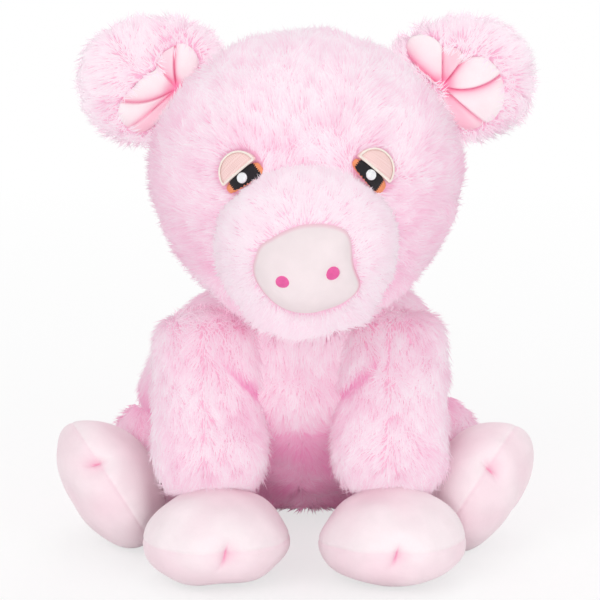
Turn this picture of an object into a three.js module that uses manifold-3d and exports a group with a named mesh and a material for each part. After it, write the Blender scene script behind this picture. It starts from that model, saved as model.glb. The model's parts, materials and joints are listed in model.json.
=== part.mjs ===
// A seated plush pig, about 270 mm tall, in millimetres. Z is up and the pig looks along -Y, so +X is
// its own left. Fur bags, velour hooves, ears, embroidered eyes and fillings are separate pieces, cut
// and filled as a soft-toy maker does. The origin lies under the middle of the pig, on the floor.
import * as THREE from "three";
import { mergeVertices } from "three/addons/utils/BufferGeometryUtils.js";
import Module from "manifold-3d";

const wasm = await Module();
wasm.setup();
const degrees = THREE.MathUtils.degToRad;
const at = (x, y, z) => new THREE.Vector3(x, y, z);

// Cloth, seams and clearances
const FUR_THICKNESS = 8;
const VELOUR_THICKNESS = 2.4;
const SEAM_GAP = 0.3;
const SLIP_GAP = 0.8;
const SWEEP_GAP = 3.2;
const FLOOR_CUT = 0.5;
const OVERRUN = 40;
const WELD = 1e-4;

// Torso bag, from its seat to the shoulders
const TORSO_WIDTH = 158;
const TORSO_DEPTH = 142;
const TORSO_HEIGHT = 136;
const torsoWidthShares = [1.5, 1.15, 1.05, 1.01, 1, 0.975, 0.965, 1.12, 1.34];
const torsoDepthShares = [1.6, 1.12, 0.98, 0.97, 0.985, 0.99, 0.99, 1.06, 1.25];
const torsoSwayShares = [0, 0, -0.015, -0.024, -0.026, -0.02, 0, 0.02, 0.025];
const torsoLeanShares = [0.42, 0.385, 0.32, 0.27, 0.21, 0.16, 0.12, 0.07, 0.035];

// Neck: a ball joint of filling, on which the head turns and nods
const NECK_HEIGHT = 112;
const NECK_FORWARD = 5;
const NECK_ASIDE = 3;
const NECK_BALL_RADIUS = 44;
const NECK_PLUG_RADIUS = 32;
const NECK_PLUG_FOOT_RADIUS = 20;
const NECK_PLUG_DEPTH = 50;
const HEAD_TURN = degrees(15);
const HEAD_NOD = degrees(10);

// Pellet bag in the seat
const PELLET_BAG_WIDTH = 92;
const PELLET_BAG_DEPTH = 62;
const PELLET_BAG_HEIGHT = 36;
const PELLET_BAG_LIFT = 3;

// Head
const HEAD_WIDTH = 153;
const HEAD_DEPTH = 140;
const HEAD_HEIGHT = 147.5;
const HEAD_RISE = 75;
const HEAD_FORWARD = 20;
const headWidthShares = [0.84, 0.87, 0.915, 0.95, 0.985, 1.01, 1.015, 1.02, 1.03];

// Muzzle, nose and nostrils
const MUZZLE_WIDTH = 89;
const MUZZLE_DEPTH = 76;
const MUZZLE_HEIGHT = 82;
const MUZZLE_FORWARD = 60;
const MUZZLE_DROP = 17.7;
const MUZZLE_FUR = 6;
const NOSE_WIDTH = 50;
const NOSE_HEIGHT = 41;
const NOSE_DROP = 5;
const NOSE_PROUD = 1.5;
const NOSE_TWIST = degrees(10);
const NOSE_TAPER_SHARE = 0.1;
const NOSTRIL_WIDTH = 6.4;
const NOSTRIL_HEIGHT = 6.2;
const NOSTRIL_SPACING = 23.5;
const NOSTRIL_DROP = 1.4;
const NOSTRIL_THREAD = 0.9;

// Eyes: an embroidered disc half covered by a padded lid
const EYE_SPACING = 64;
const EYE_RISE = 17.7;
const EYE_LEAN = 1.4;
const EYE_RADIUS = 9.9;
const EYE_SINK = 3.6;
const EYE_BAND = 6;
const PUPIL_WIDTH = 13.4;
const GLINT_RADIUS = 2.6;
const GLINT_DROP = 3;
const LID_SLOPE = degrees(38);
const LID_RIM = 1.5;
const THREAD_THICKNESS = 0.9;
const LID_THICKNESS = 2.6;
const LID_RIM_THICKNESS = 3.1;

// Ears: fur pouches sewn along a seam on the head, with a pleated lining in a bowl
const EAR_REACH = 88;
const EAR_BEARING = degrees(57);
const earTilts = { left: degrees(-8), right: degrees(7) };
const EAR_LENGTH = 74;
const EAR_WIDTH = 64;
const EAR_SQUARENESS = 2.4;
const EAR_THICKNESS = 27;
const EAR_BACK = 10;
const EAR_BOWL_LENGTH = 42;
const EAR_BOWL_WIDTH = 50;
const EAR_BOWL_DEPTH = 9;
const EAR_BOWL_SHIFT = 8;
const PLEAT_COUNT = 5;
const PLEAT_DEPTH_SHARE = 0.12;
const EAR_FLAP_FORWARD = degrees(25);
const EAR_FLAP_BACK = degrees(20);

// Hooves: velour covers, wider than tall, with a stitched cleft at the toe
const HOOF_WIDTH = 68;
const HOOF_HEIGHT = 46;
const HOOF_LENGTH = 66;
const hoofShares = [1.2, 1.11, 1.03, 0.97, 0.92];
const CLEFT_DEPTH_SHARE = 0.16;
const CLEFT_WIDTH_SHARE = 0.16;
const CLEFT_HEIGHT_SHARE = 0.5;
const CLEFT_DROP_SHARE = 0.3;
const ANKLE_RADIUS = 17;
const ANKLE_TONGUE = 12;

// Front legs: the shoulder, the sleeve and the standing hoof
const SHOULDER_SPACING = 90;
const SHOULDER_FORWARD = 30;
const SHOULDER_HEIGHT = 104;
const SHOULDER_ROLL = 20;
const SLEEVE_WIDTH = 57;
const SLEEVE_DEPTH = 54;
const SLEEVE_BLUNTNESS = 3.6;
const FRONT_HOOF_SPACING = 87;
const FRONT_HOOF_FORWARD = 69.5;
const FRONT_HOOF_PITCH = degrees(5);
const FRONT_HOOF_TURN = degrees(8);
const FRONT_HOOF_TOE_IN = degrees(4);
const FRONT_ANKLE_BACK = 15;
const FRONT_ANKLE_RISE = 17;
const FRONT_SWING = degrees(30);

// Hind legs: the hip, the sleeve and the foot on its side
const HIP_SPACING = 100;
const HIP_BACK = 50;
const HIP_HEIGHT = 38;
const HIP_ROLL = 26;
const HIND_SLEEVE_WIDTH = 60;
const HIND_SLEEVE_HEIGHT = 66;
const HIND_BLUNTNESS = 2.6;
const HIND_HOOF_SPACING = 182;
const HIND_HOOF_FORWARD = 18.5;
const HIND_HOOF_PITCH = degrees(35);
const HIND_HOOF_ROLL = degrees(52);
const HIND_HOOF_TURN = degrees(8);
const HIND_ANKLE_BACK = 15;
const HIND_SPLAY = degrees(18);
const HIND_REST_SPLAY = degrees(2.5);

// Tail: a curled velour tube
const TAIL_HEIGHT = 52;
const TAIL_TUBE_RADIUS = 4.6;
const TAIL_STUB = 16;
const TAIL_CURL_RADIUS = 8.5;
const TAIL_CURL_PITCH = 15;
const TAIL_CURL_TURNS = 1.4;
const TAIL_RISE = degrees(25);
const TAIL_WAG = degrees(20);

// Facets
const BODY_FACETS = [22, 12];
const SWEEP_FACETS = [18, 10];
const MUZZLE_FACETS = [16, 10];
const LIMB_FACETS = [14, 8];
const LINING_FACETS = [10, 6];
const ROUND_SEGMENTS = 12;
const TUBE_SIDES = 8;
const TUBE_STEPS_PER_TURN = 12;
const SWEEP_STEP = degrees(15);

const SIDES = [
  { word: "left", sign: 1 },
  { word: "right", sign: -1 },
];

const cloth = (color, roughness) => new THREE.MeshStandardMaterial({ color, roughness, metalness: 0 });
const MATERIALS = {
  fur: cloth("#f6c6da", 0.95),
  muzzleFur: cloth("#fae0ea", 0.95),
  hoofVelour: cloth("#f7e6ea", 0.85),
  noseVelour: cloth("#f1e4e4", 0.85),
  liningVelour: cloth("#f6dbe2", 0.85),
  tailVelour: cloth("#f4c3d6", 0.85),
  lidVelour: cloth("#eed3ce", 0.8),
  rimThread: cloth("#f6dcd4", 0.55),
  irisThread: cloth("#e58f62", 0.55),
  pupilThread: cloth("#2b2328", 0.5),
  glintThread: cloth("#eef0f4", 0.5),
  nostrilThread: cloth("#d9609f", 0.55),
  filling: cloth("#f4f2f0", 1),
  pelletCloth: cloth("#e9e4dc", 0.9),
};

// Stuffed forms

/** The value at share t of evenly spaced shares, on a smooth curve through them. */
function along(shares, t) {
  const last = shares.length - 1;
  const place = THREE.MathUtils.clamp(t, 0, 1) * last;
  const i = Math.min(Math.floor(place), last - 1);
  const f = place - i;
  const a = shares[Math.max(i - 1, 0)];
  const b = shares[i];
  const c = shares[i + 1];
  const d = shares[Math.min(i + 2, last)];
  return b + 0.5 * f * (c - a + f * (2 * a - 5 * b + 4 * c - d + f * (3 * (b - c) + d - a)));
}

/**
 * Where a form puts the point u of the unit ball. Each height is widened, deepened, swayed aside and
 * leant back by its shares, its ends are blunted, dent pulls points in and grow lets every side out.
 */
function pointOf(form, u, grow) {
  const { size, frame, width = [1, 1], depth = width, sway = [0, 0], lean = [0, 0] } = form;
  const { bluntness = 2, dent } = form;
  const t = (1 + u.z) / 2;
  const round = Math.sqrt(Math.max(1 - u.z * u.z, 0));
  const blunt = (1 - Math.abs(u.z) ** bluntness) ** (1 / bluntness);
  const fill = (round > WELD ? blunt / round : 1) * (dent ? dent(u) : 1);
  return at(
    (size.x / 2 + grow) * u.x * fill * along(width, t) + size.x * along(sway, t),
    (size.y / 2 + grow) * u.y * fill * along(depth, t) + size.y * along(lean, t),
    (size.z / 2 + grow) * u.z,
  ).applyMatrix4(frame);
}

/** A closed solid from a geometry, with its shared vertices merged. */
function solidOf(geometry) {
  const bare = new THREE.BufferGeometry();
  bare.setAttribute("position", geometry.getAttribute("position"));
  bare.setIndex(geometry.index);
  const merged = mergeVertices(bare, WELD);
  const vertProperties = merged.getAttribute("position").array;
  const triVerts = new Uint32Array(merged.index.array);
  return new wasm.Manifold(new wasm.Mesh({ numProp: 3, vertProperties, triVerts }));
}

/** The solid of a stuffed form, let out by grow on every side. */
function stuffed(form, grow = 0, [segments, rings] = LIMB_FACETS) {
  const geometry = new THREE.SphereGeometry(1, segments, rings).rotateX(Math.PI / 2);
  const points = geometry.getAttribute("position");
  const u = new THREE.Vector3();
  for (let i = 0; i < points.count; i++) {
    u.fromBufferAttribute(points, i);
    points.setXYZ(i, ...pointOf(form, u, grow).toArray());
  }
  return solidOf(geometry);
}

// Simple solids and cuts

const moved = (geometry, frame) => solidOf(geometry.applyMatrix4(frame));

const ball = (centre, radius) => {
  const [segments, rings] = BODY_FACETS;
  return solidOf(new THREE.SphereGeometry(radius, segments, rings).rotateX(Math.PI / 2).translate(...centre));
};

/** A frame at origin whose Z runs along zWay and whose X is as near xWay as it can be. */
function frameAt(origin, zWay, xWay) {
  const z = zWay.clone().normalize();
  const y = z.clone().cross(xWay).normalize();
  const x = y.clone().cross(z);
  return new THREE.Matrix4().makeBasis(x, y, z).setPosition(origin);
}

/** A round bar between two points. */
function bar(from, to, radius) {
  const way = to.clone().sub(from);
  const geometry = new THREE.CylinderGeometry(radius, radius, way.length(), ROUND_SEGMENTS);
  const turn = new THREE.Quaternion().setFromUnitVectors(at(0, 1, 0), way.clone().normalize());
  return moved(geometry, new THREE.Matrix4().compose(from.clone().lerp(to, 0.5), turn, at(1, 1, 1)));
}

/** A prism of a flat outline, from behind its frame's XY plane to before it. */
function prism(outline, frame, curveSegments = ROUND_SEGMENTS / 2) {
  const options = { depth: 2 * OVERRUN, bevelEnabled: false, curveSegments };
  return moved(new THREE.ExtrudeGeometry(outline, options).translate(0, 0, -OVERRUN), frame);
}

/** The part of a solid above the floor. */
function standing(solid) {
  const reach = 4 * (TORSO_WIDTH + TORSO_DEPTH);
  return solid.subtract(solidOf(new THREE.BoxGeometry(reach, reach, reach).translate(0, 0, -reach / 2)));
}

/** A solid turned by an angle about an axis through a pivot. */
function turned(solid, pivot, axis, angle) {
  const frame = new THREE.Matrix4().makeTranslation(...pivot);
  frame.multiply(new THREE.Matrix4().makeRotationAxis(axis, angle));
  frame.multiply(new THREE.Matrix4().makeTranslation(...pivot.clone().negate()));
  return solid.transform(frame.elements);
}

/** The angles from one limit to the other, with zero left out. */
function anglesBetween(low, high) {
  const angles = [];
  for (const limit of [low, high]) {
    const steps = Math.ceil(Math.abs(limit) / SWEEP_STEP - WELD);
    for (let i = 1; i <= steps; i++) angles.push((limit * i) / steps);
  }
  return angles;
}

const union = (solids) => solids.reduce((whole, solid) => whole.add(solid));

/** Where a neighbour passes a moving piece, in the piece's own rest place. */
function passing(neighbour, { pivot, axis, low, high }) {
  return union(anglesBetween(low, high).map((angle) => turned(neighbour, pivot, axis, -angle)));
}

// Places of the main forms
const neck = at(NECK_ASIDE, -NECK_FORWARD, NECK_HEIGHT);
const headCentre = neck.clone().add(at(0, -HEAD_FORWARD, HEAD_RISE));
const muzzleCentre = headCentre.clone().add(at(0, -MUZZLE_FORWARD, -MUZZLE_DROP));

const torsoForm = {
  size: at(TORSO_WIDTH, TORSO_DEPTH, TORSO_HEIGHT),
  frame: new THREE.Matrix4().setPosition(0, 0, TORSO_HEIGHT / 2 - FLOOR_CUT),
  width: torsoWidthShares,
  depth: torsoDepthShares,
  sway: torsoSwayShares,
  lean: torsoLeanShares,
};
const headForm = {
  size: at(HEAD_WIDTH, HEAD_DEPTH, HEAD_HEIGHT),
  frame: new THREE.Matrix4().setPosition(headCentre),
  width: headWidthShares,
  depth: [1, 1],
};
const muzzleForm = {
  size: at(MUZZLE_WIDTH, MUZZLE_DEPTH, MUZZLE_HEIGHT),
  frame: new THREE.Matrix4().setPosition(muzzleCentre),
};

/** The point of the head's surface straight in front of (x, z) from its centre, and its normal. */
function onHead(x, z) {
  const half = headForm.size.clone().multiplyScalar(0.5);
  const uz = z / half.z;
  const ux = x / (half.x * along(headWidthShares, (1 + uz) / 2));
  const uy = -Math.sqrt(1 - ux * ux - uz * uz);
  const normal = at(ux / half.x, uy / half.y, uz / half.z).normalize();
  return { point: at(x, half.y * uy, z).add(headCentre), normal };
}

// Joints, as pivots and limits
const X_AXIS = at(1, 0, 0);
const Z_AXIS = at(0, 0, 1);
const joints = {
  neck_turn: { pivot: neck, axis: Z_AXIS, low: -HEAD_TURN, high: HEAD_TURN },
  neck_nod: { pivot: neck, axis: X_AXIS, low: -HEAD_NOD, high: HEAD_NOD },
};

const headTurns = [0, ...anglesBetween(-HEAD_TURN, HEAD_TURN)];
const headNods = [0, ...anglesBetween(-HEAD_NOD, HEAD_NOD)];

/** All that a solid of the head sweeps as the head turns and nods. */
function sweptByHead(solid) {
  const nodded = union(headNods.map((nod) => turned(solid, neck, X_AXIS, nod)));
  return union(headTurns.map((turn) => turned(nodded, neck, Z_AXIS, turn)));
}
const headSweep = sweptByHead(stuffed(headForm, SWEEP_GAP, SWEEP_FACETS));

/** All that the head and the muzzle sweep, let out by grow. */
const faceSweep = (grow) =>
  sweptByHead(stuffed(headForm, grow, SWEEP_FACETS)).add(
    sweptByHead(stuffed(muzzleForm, grow, LINING_FACETS)),
  );
const faceReach = faceSweep(SWEEP_GAP);
const faceReachInFur = faceSweep(SWEEP_GAP + FUR_THICKNESS);

// Torso and neck

/** The neck's wad of filling: a dome of the neck ball on a tapering plug, let out by grow. */
function neckPlug(grow) {
  const dome = NECK_BALL_RADIUS - SLIP_GAP;
  const radius = NECK_PLUG_RADIUS + grow;
  const foot = dome - NECK_PLUG_DEPTH - grow;
  const rim = Math.asin(NECK_PLUG_RADIUS / dome);
  const profile = [new THREE.Vector2(0, foot), new THREE.Vector2(NECK_PLUG_FOOT_RADIUS + grow, foot)];
  const steps = LINING_FACETS[1] / 2;
  profile.push(new THREE.Vector2(radius, 0));
  for (let i = steps; i > 0; i--) {
    const angle = (rim * i) / steps;
    const across = i === steps ? radius : dome * Math.sin(angle);
    profile.push(new THREE.Vector2(across, dome * Math.cos(angle)));
  }
  profile.push(new THREE.Vector2(0, dome));
  const frame = new THREE.Matrix4().makeRotationX(Math.PI / 2).setPosition(neck);
  return moved(new THREE.LatheGeometry(profile, SWEEP_FACETS[0]), frame);
}

function torsoPieces() {
  const aboveBall = headSweep.subtract(ball(neck, NECK_BALL_RADIUS - SLIP_GAP));
  const hole = neckPlug(SLIP_GAP);
  const outside = standing(stuffed(torsoForm, 0, BODY_FACETS)).subtract(aboveBall).subtract(hole);
  const bagForm = {
    size: at(PELLET_BAG_WIDTH, PELLET_BAG_DEPTH, PELLET_BAG_HEIGHT),
    frame: new THREE.Matrix4().setPosition(pointOf(torsoForm, at(0, 0, -1), 0)),
  };
  bagForm.frame.elements[14] += PELLET_BAG_LIFT + PELLET_BAG_HEIGHT / 2;
  const inside = stuffed(torsoForm, -FUR_THICKNESS - SEAM_GAP, LINING_FACETS);
  return {
    torso_skin: outside.subtract(stuffed(torsoForm, -FUR_THICKNESS, LINING_FACETS)),
    torso_filling: inside
      .subtract(aboveBall)
      .subtract(hole)
      .subtract(stuffed(bagForm, SEAM_GAP, LINING_FACETS)),
    seat_pellet_bag: stuffed(bagForm, 0, LINING_FACETS).intersect(inside),
    neck_filling: neckPlug(0),
  };
}

// Face

/** A rounded nose outline, wider below than above. */
function noseOutline(grow) {
  const half = at(NOSE_WIDTH / 2 + grow, NOSE_HEIGHT / 2 + grow, 0);
  const outline = new THREE.Shape();
  for (let i = 0; i < BODY_FACETS[0]; i++) {
    const angle = (2 * Math.PI * i) / BODY_FACETS[0];
    const taper = 1 - NOSE_TAPER_SHARE * Math.sin(angle);
    const point = [half.x * Math.cos(angle) * taper, half.y * Math.sin(angle)];
    if (i === 0) outline.moveTo(...point);
    else outline.lineTo(...point);
  }
  outline.closePath();
  return outline;
}

function ovalOutline(width, height, x, y) {
  const outline = new THREE.Shape();
  outline.absellipse(x, y, width / 2, height / 2, 0, 2 * Math.PI);
  return outline;
}

/** Pieces of the muzzle, nose and nostrils, and what the head skin has to leave open for them. */
function muzzlePieces() {
  const front = muzzleCentre.clone().add(at(0, -MUZZLE_DEPTH / 2, -NOSE_DROP));
  const across = at(Math.cos(NOSE_TWIST), 0, Math.sin(NOSE_TWIST));
  const frame = frameAt(front, at(0, -1, 0), across);
  const inner = stuffed(muzzleForm, -MUZZLE_FUR, LINING_FACETS);
  const layer = (top) => stuffed(muzzleForm, top, MUZZLE_FACETS).subtract(inner);
  const cover = layer(0)
    .subtract(stuffed(headForm, SEAM_GAP, BODY_FACETS))
    .subtract(prism(noseOutline(SEAM_GAP), frame));
  const pieces = {
    muzzle_cover: cover,
    nose_pad: layer(NOSE_PROUD).intersect(prism(noseOutline(0), frame)),
  };
  const above = NOSE_PROUD + SEAM_GAP;
  const threads = stuffed(muzzleForm, above + NOSTRIL_THREAD, MUZZLE_FACETS).subtract(
    stuffed(muzzleForm, above, MUZZLE_FACETS),
  );
  for (const { word, sign } of SIDES) {
    const x = (sign * NOSTRIL_SPACING) / 2;
    const outline = ovalOutline(NOSTRIL_WIDTH, NOSTRIL_HEIGHT, x, -NOSTRIL_DROP);
    pieces[`nostril_${word}`] = threads.intersect(prism(outline, frame));
  }
  return pieces;
}

/** The flat outlines of one eye: X runs along the lid's edge and Y up across the lid. */
function eyeOutlines() {
  const lidOf = (radius, foot) => {
    const start = Math.asin(foot / radius);
    const outline = new THREE.Shape();
    outline.absarc(0, 0, radius, start, Math.PI - start, false);
    outline.closePath();
    return outline;
  };
  const bandOf = (half) => {
    const outline = new THREE.Shape();
    outline.moveTo(-half, -SEAM_GAP);
    outline.lineTo(-Math.min(half, Math.sqrt(EYE_RADIUS ** 2 - EYE_BAND ** 2)), -EYE_BAND);
    outline.lineTo(Math.min(half, Math.sqrt(EYE_RADIUS ** 2 - EYE_BAND ** 2)), -EYE_BAND);
    outline.lineTo(half, -SEAM_GAP);
    outline.closePath();
    return outline;
  };
  return {
    socket: ovalOutline(2 * (EYE_RADIUS + SEAM_GAP), 2 * (EYE_RADIUS + SEAM_GAP), 0, 0),
    lid: lidOf(EYE_RADIUS - LID_RIM - SEAM_GAP, LID_RIM + SEAM_GAP),
    lidHole: lidOf(EYE_RADIUS - LID_RIM, LID_RIM),
    rim: lidOf(EYE_RADIUS, 0),
    band: bandOf(EYE_RADIUS),
    pupil: bandOf(PUPIL_WIDTH / 2),
    glint: ovalOutline(2 * GLINT_RADIUS, 2 * GLINT_RADIUS, 0, -GLINT_DROP),
  };
}

/** The iris, the pupil and glint stitched on it, the padded lid, and the socket that the fur leaves. */
function eyePieces({ word, sign }) {
  const { point, normal } = onHead((sign * EYE_SPACING) / 2, EYE_RISE + (sign * EYE_LEAN) / 2);
  const edge = at(Math.cos(LID_SLOPE), 0, -sign * Math.sin(LID_SLOPE));
  const frame = frameAt(point, normal, edge);
  const outlines = eyeOutlines();
  const cut = (name) => prism(outlines[name], frame);
  const depth = (grow) => stuffed(headForm, grow, BODY_FACETS);
  const muzzle = stuffed(muzzleForm, SEAM_GAP, MUZZLE_FACETS);
  const field = (name, thickness, layersUnder = 0) => {
    const foot = SEAM_GAP - EYE_SINK + layersUnder * (THREAD_THICKNESS + SEAM_GAP);
    return depth(foot + thickness).subtract(depth(foot)).intersect(cut(name)).subtract(muzzle);
  };
  return {
    socket: prism(outlines.socket, frame, ROUND_SEGMENTS).subtract(depth(-EYE_SINK)),
    pieces: {
      [`iris_${word}`]: field("band", THREAD_THICKNESS),
      [`pupil_${word}`]: field("pupil", THREAD_THICKNESS, 1),
      [`glint_${word}`]: field("glint", THREAD_THICKNESS, 2),
      [`eyelid_${word}`]: field("lid", LID_THICKNESS),
      [`eyelid_rim_${word}`]: field("rim", LID_RIM_THICKNESS).subtract(cut("lidHole")),
    },
  };
}

function headPieces() {
  const cup = ball(neck, NECK_BALL_RADIUS);
  const eyes = SIDES.map(eyePieces);
  const throat = stuffed(muzzleForm, -MUZZLE_FUR, LINING_FACETS);
  const skin = stuffed(headForm, 0, BODY_FACETS)
    .subtract(stuffed(headForm, -FUR_THICKNESS, LINING_FACETS))
    .subtract(cup)
    .subtract(throat)
    .subtract(union(eyes.map(({ socket }) => socket)));
  const filling = stuffed(headForm, -FUR_THICKNESS - SEAM_GAP, LINING_FACETS)
    .add(stuffed(muzzleForm, -MUZZLE_FUR - SEAM_GAP, LINING_FACETS))
    .subtract(cup);
  const face = Object.assign(muzzlePieces(), ...eyes.map((eye) => eye.pieces));
  return { head_skin: skin, head_filling: filling, ...face };
}

// Ears

/** How far an ear's outline stands out from a round one. */
function squared(u) {
  const round = Math.max(Math.hypot(u.x, u.y), WELD);
  const sum = Math.abs(u.x / round) ** EAR_SQUARENESS + Math.abs(u.y / round) ** EAR_SQUARENESS;
  return Math.max(sum, WELD) ** (-1 / EAR_SQUARENESS);
}

function earPieces({ word, sign }) {
  const outward = at(sign * Math.sin(EAR_BEARING), 0, Math.cos(EAR_BEARING));
  const upward = at(-sign * Math.cos(EAR_BEARING), 0, Math.sin(EAR_BEARING));
  const plane = headCentre.clone().add(at(0, EAR_BACK, 0));
  const centre = plane.clone().addScaledVector(outward, EAR_REACH);
  const tilt = earTilts[word];
  const longWay = at(sign * Math.cos(tilt), 0, -Math.sin(tilt));
  const frame = frameAt(centre, at(0, -1, 0), longWay);
  const ear = { size: at(EAR_LENGTH, EAR_WIDTH, EAR_THICKNESS), frame, dent: squared };
  const front = plane.clone().addScaledVector(outward, EAR_REACH - EAR_BOWL_SHIFT);
  front.y -= EAR_THICKNESS / 2;
  const bowl = {
    size: at(EAR_BOWL_LENGTH, EAR_BOWL_WIDTH, 2 * EAR_BOWL_DEPTH),
    frame: frameAt(front, at(0, -1, 0), outward),
  };
  const pleated = {
    ...bowl,
    dent: (u) => 1 - PLEAT_DEPTH_SHARE * Math.cos(PLEAT_COUNT * Math.atan2(u.y, 1 + u.x)) ** 2,
  };
  const reach = surfaceReach(plane, outward);
  const joint = {
    pivot: plane.clone().addScaledVector(outward, reach),
    axis: upward.clone().multiplyScalar(-sign),
    low: -EAR_FLAP_BACK,
    high: EAR_FLAP_FORWARD,
  };
  joints[`ear_flap_${word}`] = joint;
  const head = passing(stuffed(headForm, SLIP_GAP, BODY_FACETS), joint).add(
    stuffed(headForm, SEAM_GAP, BODY_FACETS),
  );
  const body = stuffed(ear).subtract(head);
  const sheet = stuffed(bowl, -SEAM_GAP).subtract(stuffed(pleated, -VELOUR_THICKNESS - SEAM_GAP));
  return {
    [`ear_outer_${word}`]: body.subtract(stuffed(bowl)),
    [`ear_lining_${word}`]: sheet.intersect(body),
  };
}

/** How far the head's surface is from its centre along a sideways and upward way. */
function surfaceReach(from, way) {
  const half = headForm.size.clone().multiplyScalar(0.5);
  const back = (from.y - headCentre.y) / half.y;
  const ring = Math.sqrt(1 - back * back);
  let reach = half.x;
  for (let i = 0; i < ROUND_SEGMENTS; i++) {
    const share = along(headWidthShares, (1 + (reach * way.z) / half.z) / 2);
    reach = ring / Math.hypot(way.x / (half.x * share), way.z / half.z);
  }
  return reach;
}

// Legs

/** How a hoof's cleft draws its toe in. */
function cleft(u) {
  const across = u.x / CLEFT_WIDTH_SHARE;
  const upright = (u.z + CLEFT_DROP_SHARE) / CLEFT_HEIGHT_SHARE;
  const front = THREE.MathUtils.clamp(-u.y, 0, 1);
  return 1 - CLEFT_DEPTH_SHARE * front * Math.exp(-across * across - upright * upright);
}

/** A hoof with its toe turned, pitched up and rolled, standing with its lowest point at the floor. */
function hoofForm(x, y, turn, pitch, roll) {
  const frame = new THREE.Matrix4().makeRotationZ(turn);
  frame.multiply(new THREE.Matrix4().makeRotationX(-pitch));
  frame.multiply(new THREE.Matrix4().makeRotationY(roll));
  const form = { size: at(HOOF_WIDTH, HOOF_LENGTH, HOOF_HEIGHT), frame, width: hoofShares, dent: cleft };
  const lowest = stuffed(form).boundingBox().min[2];
  form.frame.setPosition(x, y, -lowest - FLOOR_CUT);
  return form;
}

const placeOf = (form) => new THREE.Vector3().setFromMatrixPosition(form.frame);

/** The sleeve, hoof cover and filling of one leg, cut clear of all that it passes. */
function legPieces(name, { root, roll, ankle, size, bluntness, hoof, joint }) {
  const way = ankle.clone().sub(root);
  const length = way.length() + roll;
  const middle = ankle.clone().addScaledVector(way.clone().normalize(), -length / 2);
  const sleeve = {
    size: at(size.x, size.y, length),
    frame: frameAt(middle, way, X_AXIS),
    bluntness,
  };
  const passed = (torso, face) => passing(torso, joint).add(face).add(passing(face, joint));
  const keepOut = passed(stuffed(torsoForm, SWEEP_GAP, SWEEP_FACETS), faceReach).add(
    stuffed(torsoForm, SEAM_GAP, BODY_FACETS),
  );
  const torsoInFur = stuffed(torsoForm, FUR_THICKNESS + SWEEP_GAP, SWEEP_FACETS);
  const keepOutInFur = passed(torsoInFur, faceReachInFur).add(torsoInFur);
  const tongue = ankle.clone().addScaledVector(way.clone().normalize(), ANKLE_TONGUE);
  const opening = (gap) => bar(ankle.clone().lerp(root, 0.5), tongue, ANKLE_RADIUS - gap);
  const hollow = (gap) => stuffed(sleeve, -FUR_THICKNESS - gap, LINING_FACETS).subtract(keepOutInFur);
  const fur = stuffed(sleeve)
    .subtract(stuffed(hoof, SEAM_GAP))
    .subtract(hollow(0))
    .subtract(opening(0))
    .subtract(keepOut);
  const cover = standing(stuffed(hoof))
    .subtract(stuffed(hoof, -VELOUR_THICKNESS, LINING_FACETS))
    .subtract(opening(0));
  const filling = hollow(SEAM_GAP)
    .subtract(stuffed(hoof, SEAM_GAP))
    .add(opening(SEAM_GAP))
    .subtract(keepOut)
    .add(stuffed(hoof, -VELOUR_THICKNESS - SEAM_GAP, LINING_FACETS));
  return {
    [`${name}_sleeve`]: fur,
    [`${name}_hoof`]: cover,
    [`${name}_filling`]: filling,
  };
}

function frontLegPieces({ word, sign }) {
  const root = at((sign * SHOULDER_SPACING) / 2, -SHOULDER_FORWARD, SHOULDER_HEIGHT);
  const turn = FRONT_HOOF_TURN - sign * FRONT_HOOF_TOE_IN;
  const heel = at((sign * FRONT_HOOF_SPACING) / 2, FRONT_ANKLE_BACK - FRONT_HOOF_FORWARD, 0);
  const foot = at(0, -FRONT_ANKLE_BACK, 0).applyAxisAngle(Z_AXIS, turn).add(heel);
  const hoof = hoofForm(foot.x, foot.y, turn, FRONT_HOOF_PITCH, 0);
  const ankle = heel.setZ(placeOf(hoof).z + FRONT_ANKLE_RISE);
  const joint = { pivot: root, axis: X_AXIS.clone().negate(), low: 0, high: FRONT_SWING };
  joints[`front_leg_swing_${word}`] = joint;
  const size = at(SLEEVE_WIDTH, SLEEVE_DEPTH, 0);
  const leg = { root, roll: SHOULDER_ROLL, ankle, size, bluntness: SLEEVE_BLUNTNESS, hoof, joint };
  return legPieces(`front_leg_${word}`, leg);
}

function hindLegPieces({ word, sign }) {
  const root = at((sign * HIP_SPACING) / 2, HIP_BACK, HIP_HEIGHT);
  const foot = at((sign * HIND_HOOF_SPACING) / 2, -HIND_HOOF_FORWARD, HIP_HEIGHT).sub(root);
  foot.applyAxisAngle(Z_AXIS, -HIND_REST_SPLAY).add(root);
  const turn = sign * HIND_HOOF_TURN;
  const hoof = hoofForm(foot.x, foot.y, turn, HIND_HOOF_PITCH, -sign * HIND_HOOF_ROLL);
  const centre = placeOf(hoof);
  const ankle = centre.clone().addScaledVector(root.clone().sub(centre).normalize(), HIND_ANKLE_BACK);
  const joint = { pivot: root, axis: Z_AXIS.clone().multiplyScalar(sign), low: 0, high: HIND_SPLAY };
  joints[`hind_leg_splay_${word}`] = joint;
  const size = at(HIND_SLEEVE_WIDTH, HIND_SLEEVE_HEIGHT, 0);
  const leg = { root, roll: HIP_ROLL, ankle, size, bluntness: HIND_BLUNTNESS, hoof, joint };
  return legPieces(`hind_leg_${word}`, leg);
}

// Tail

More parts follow.
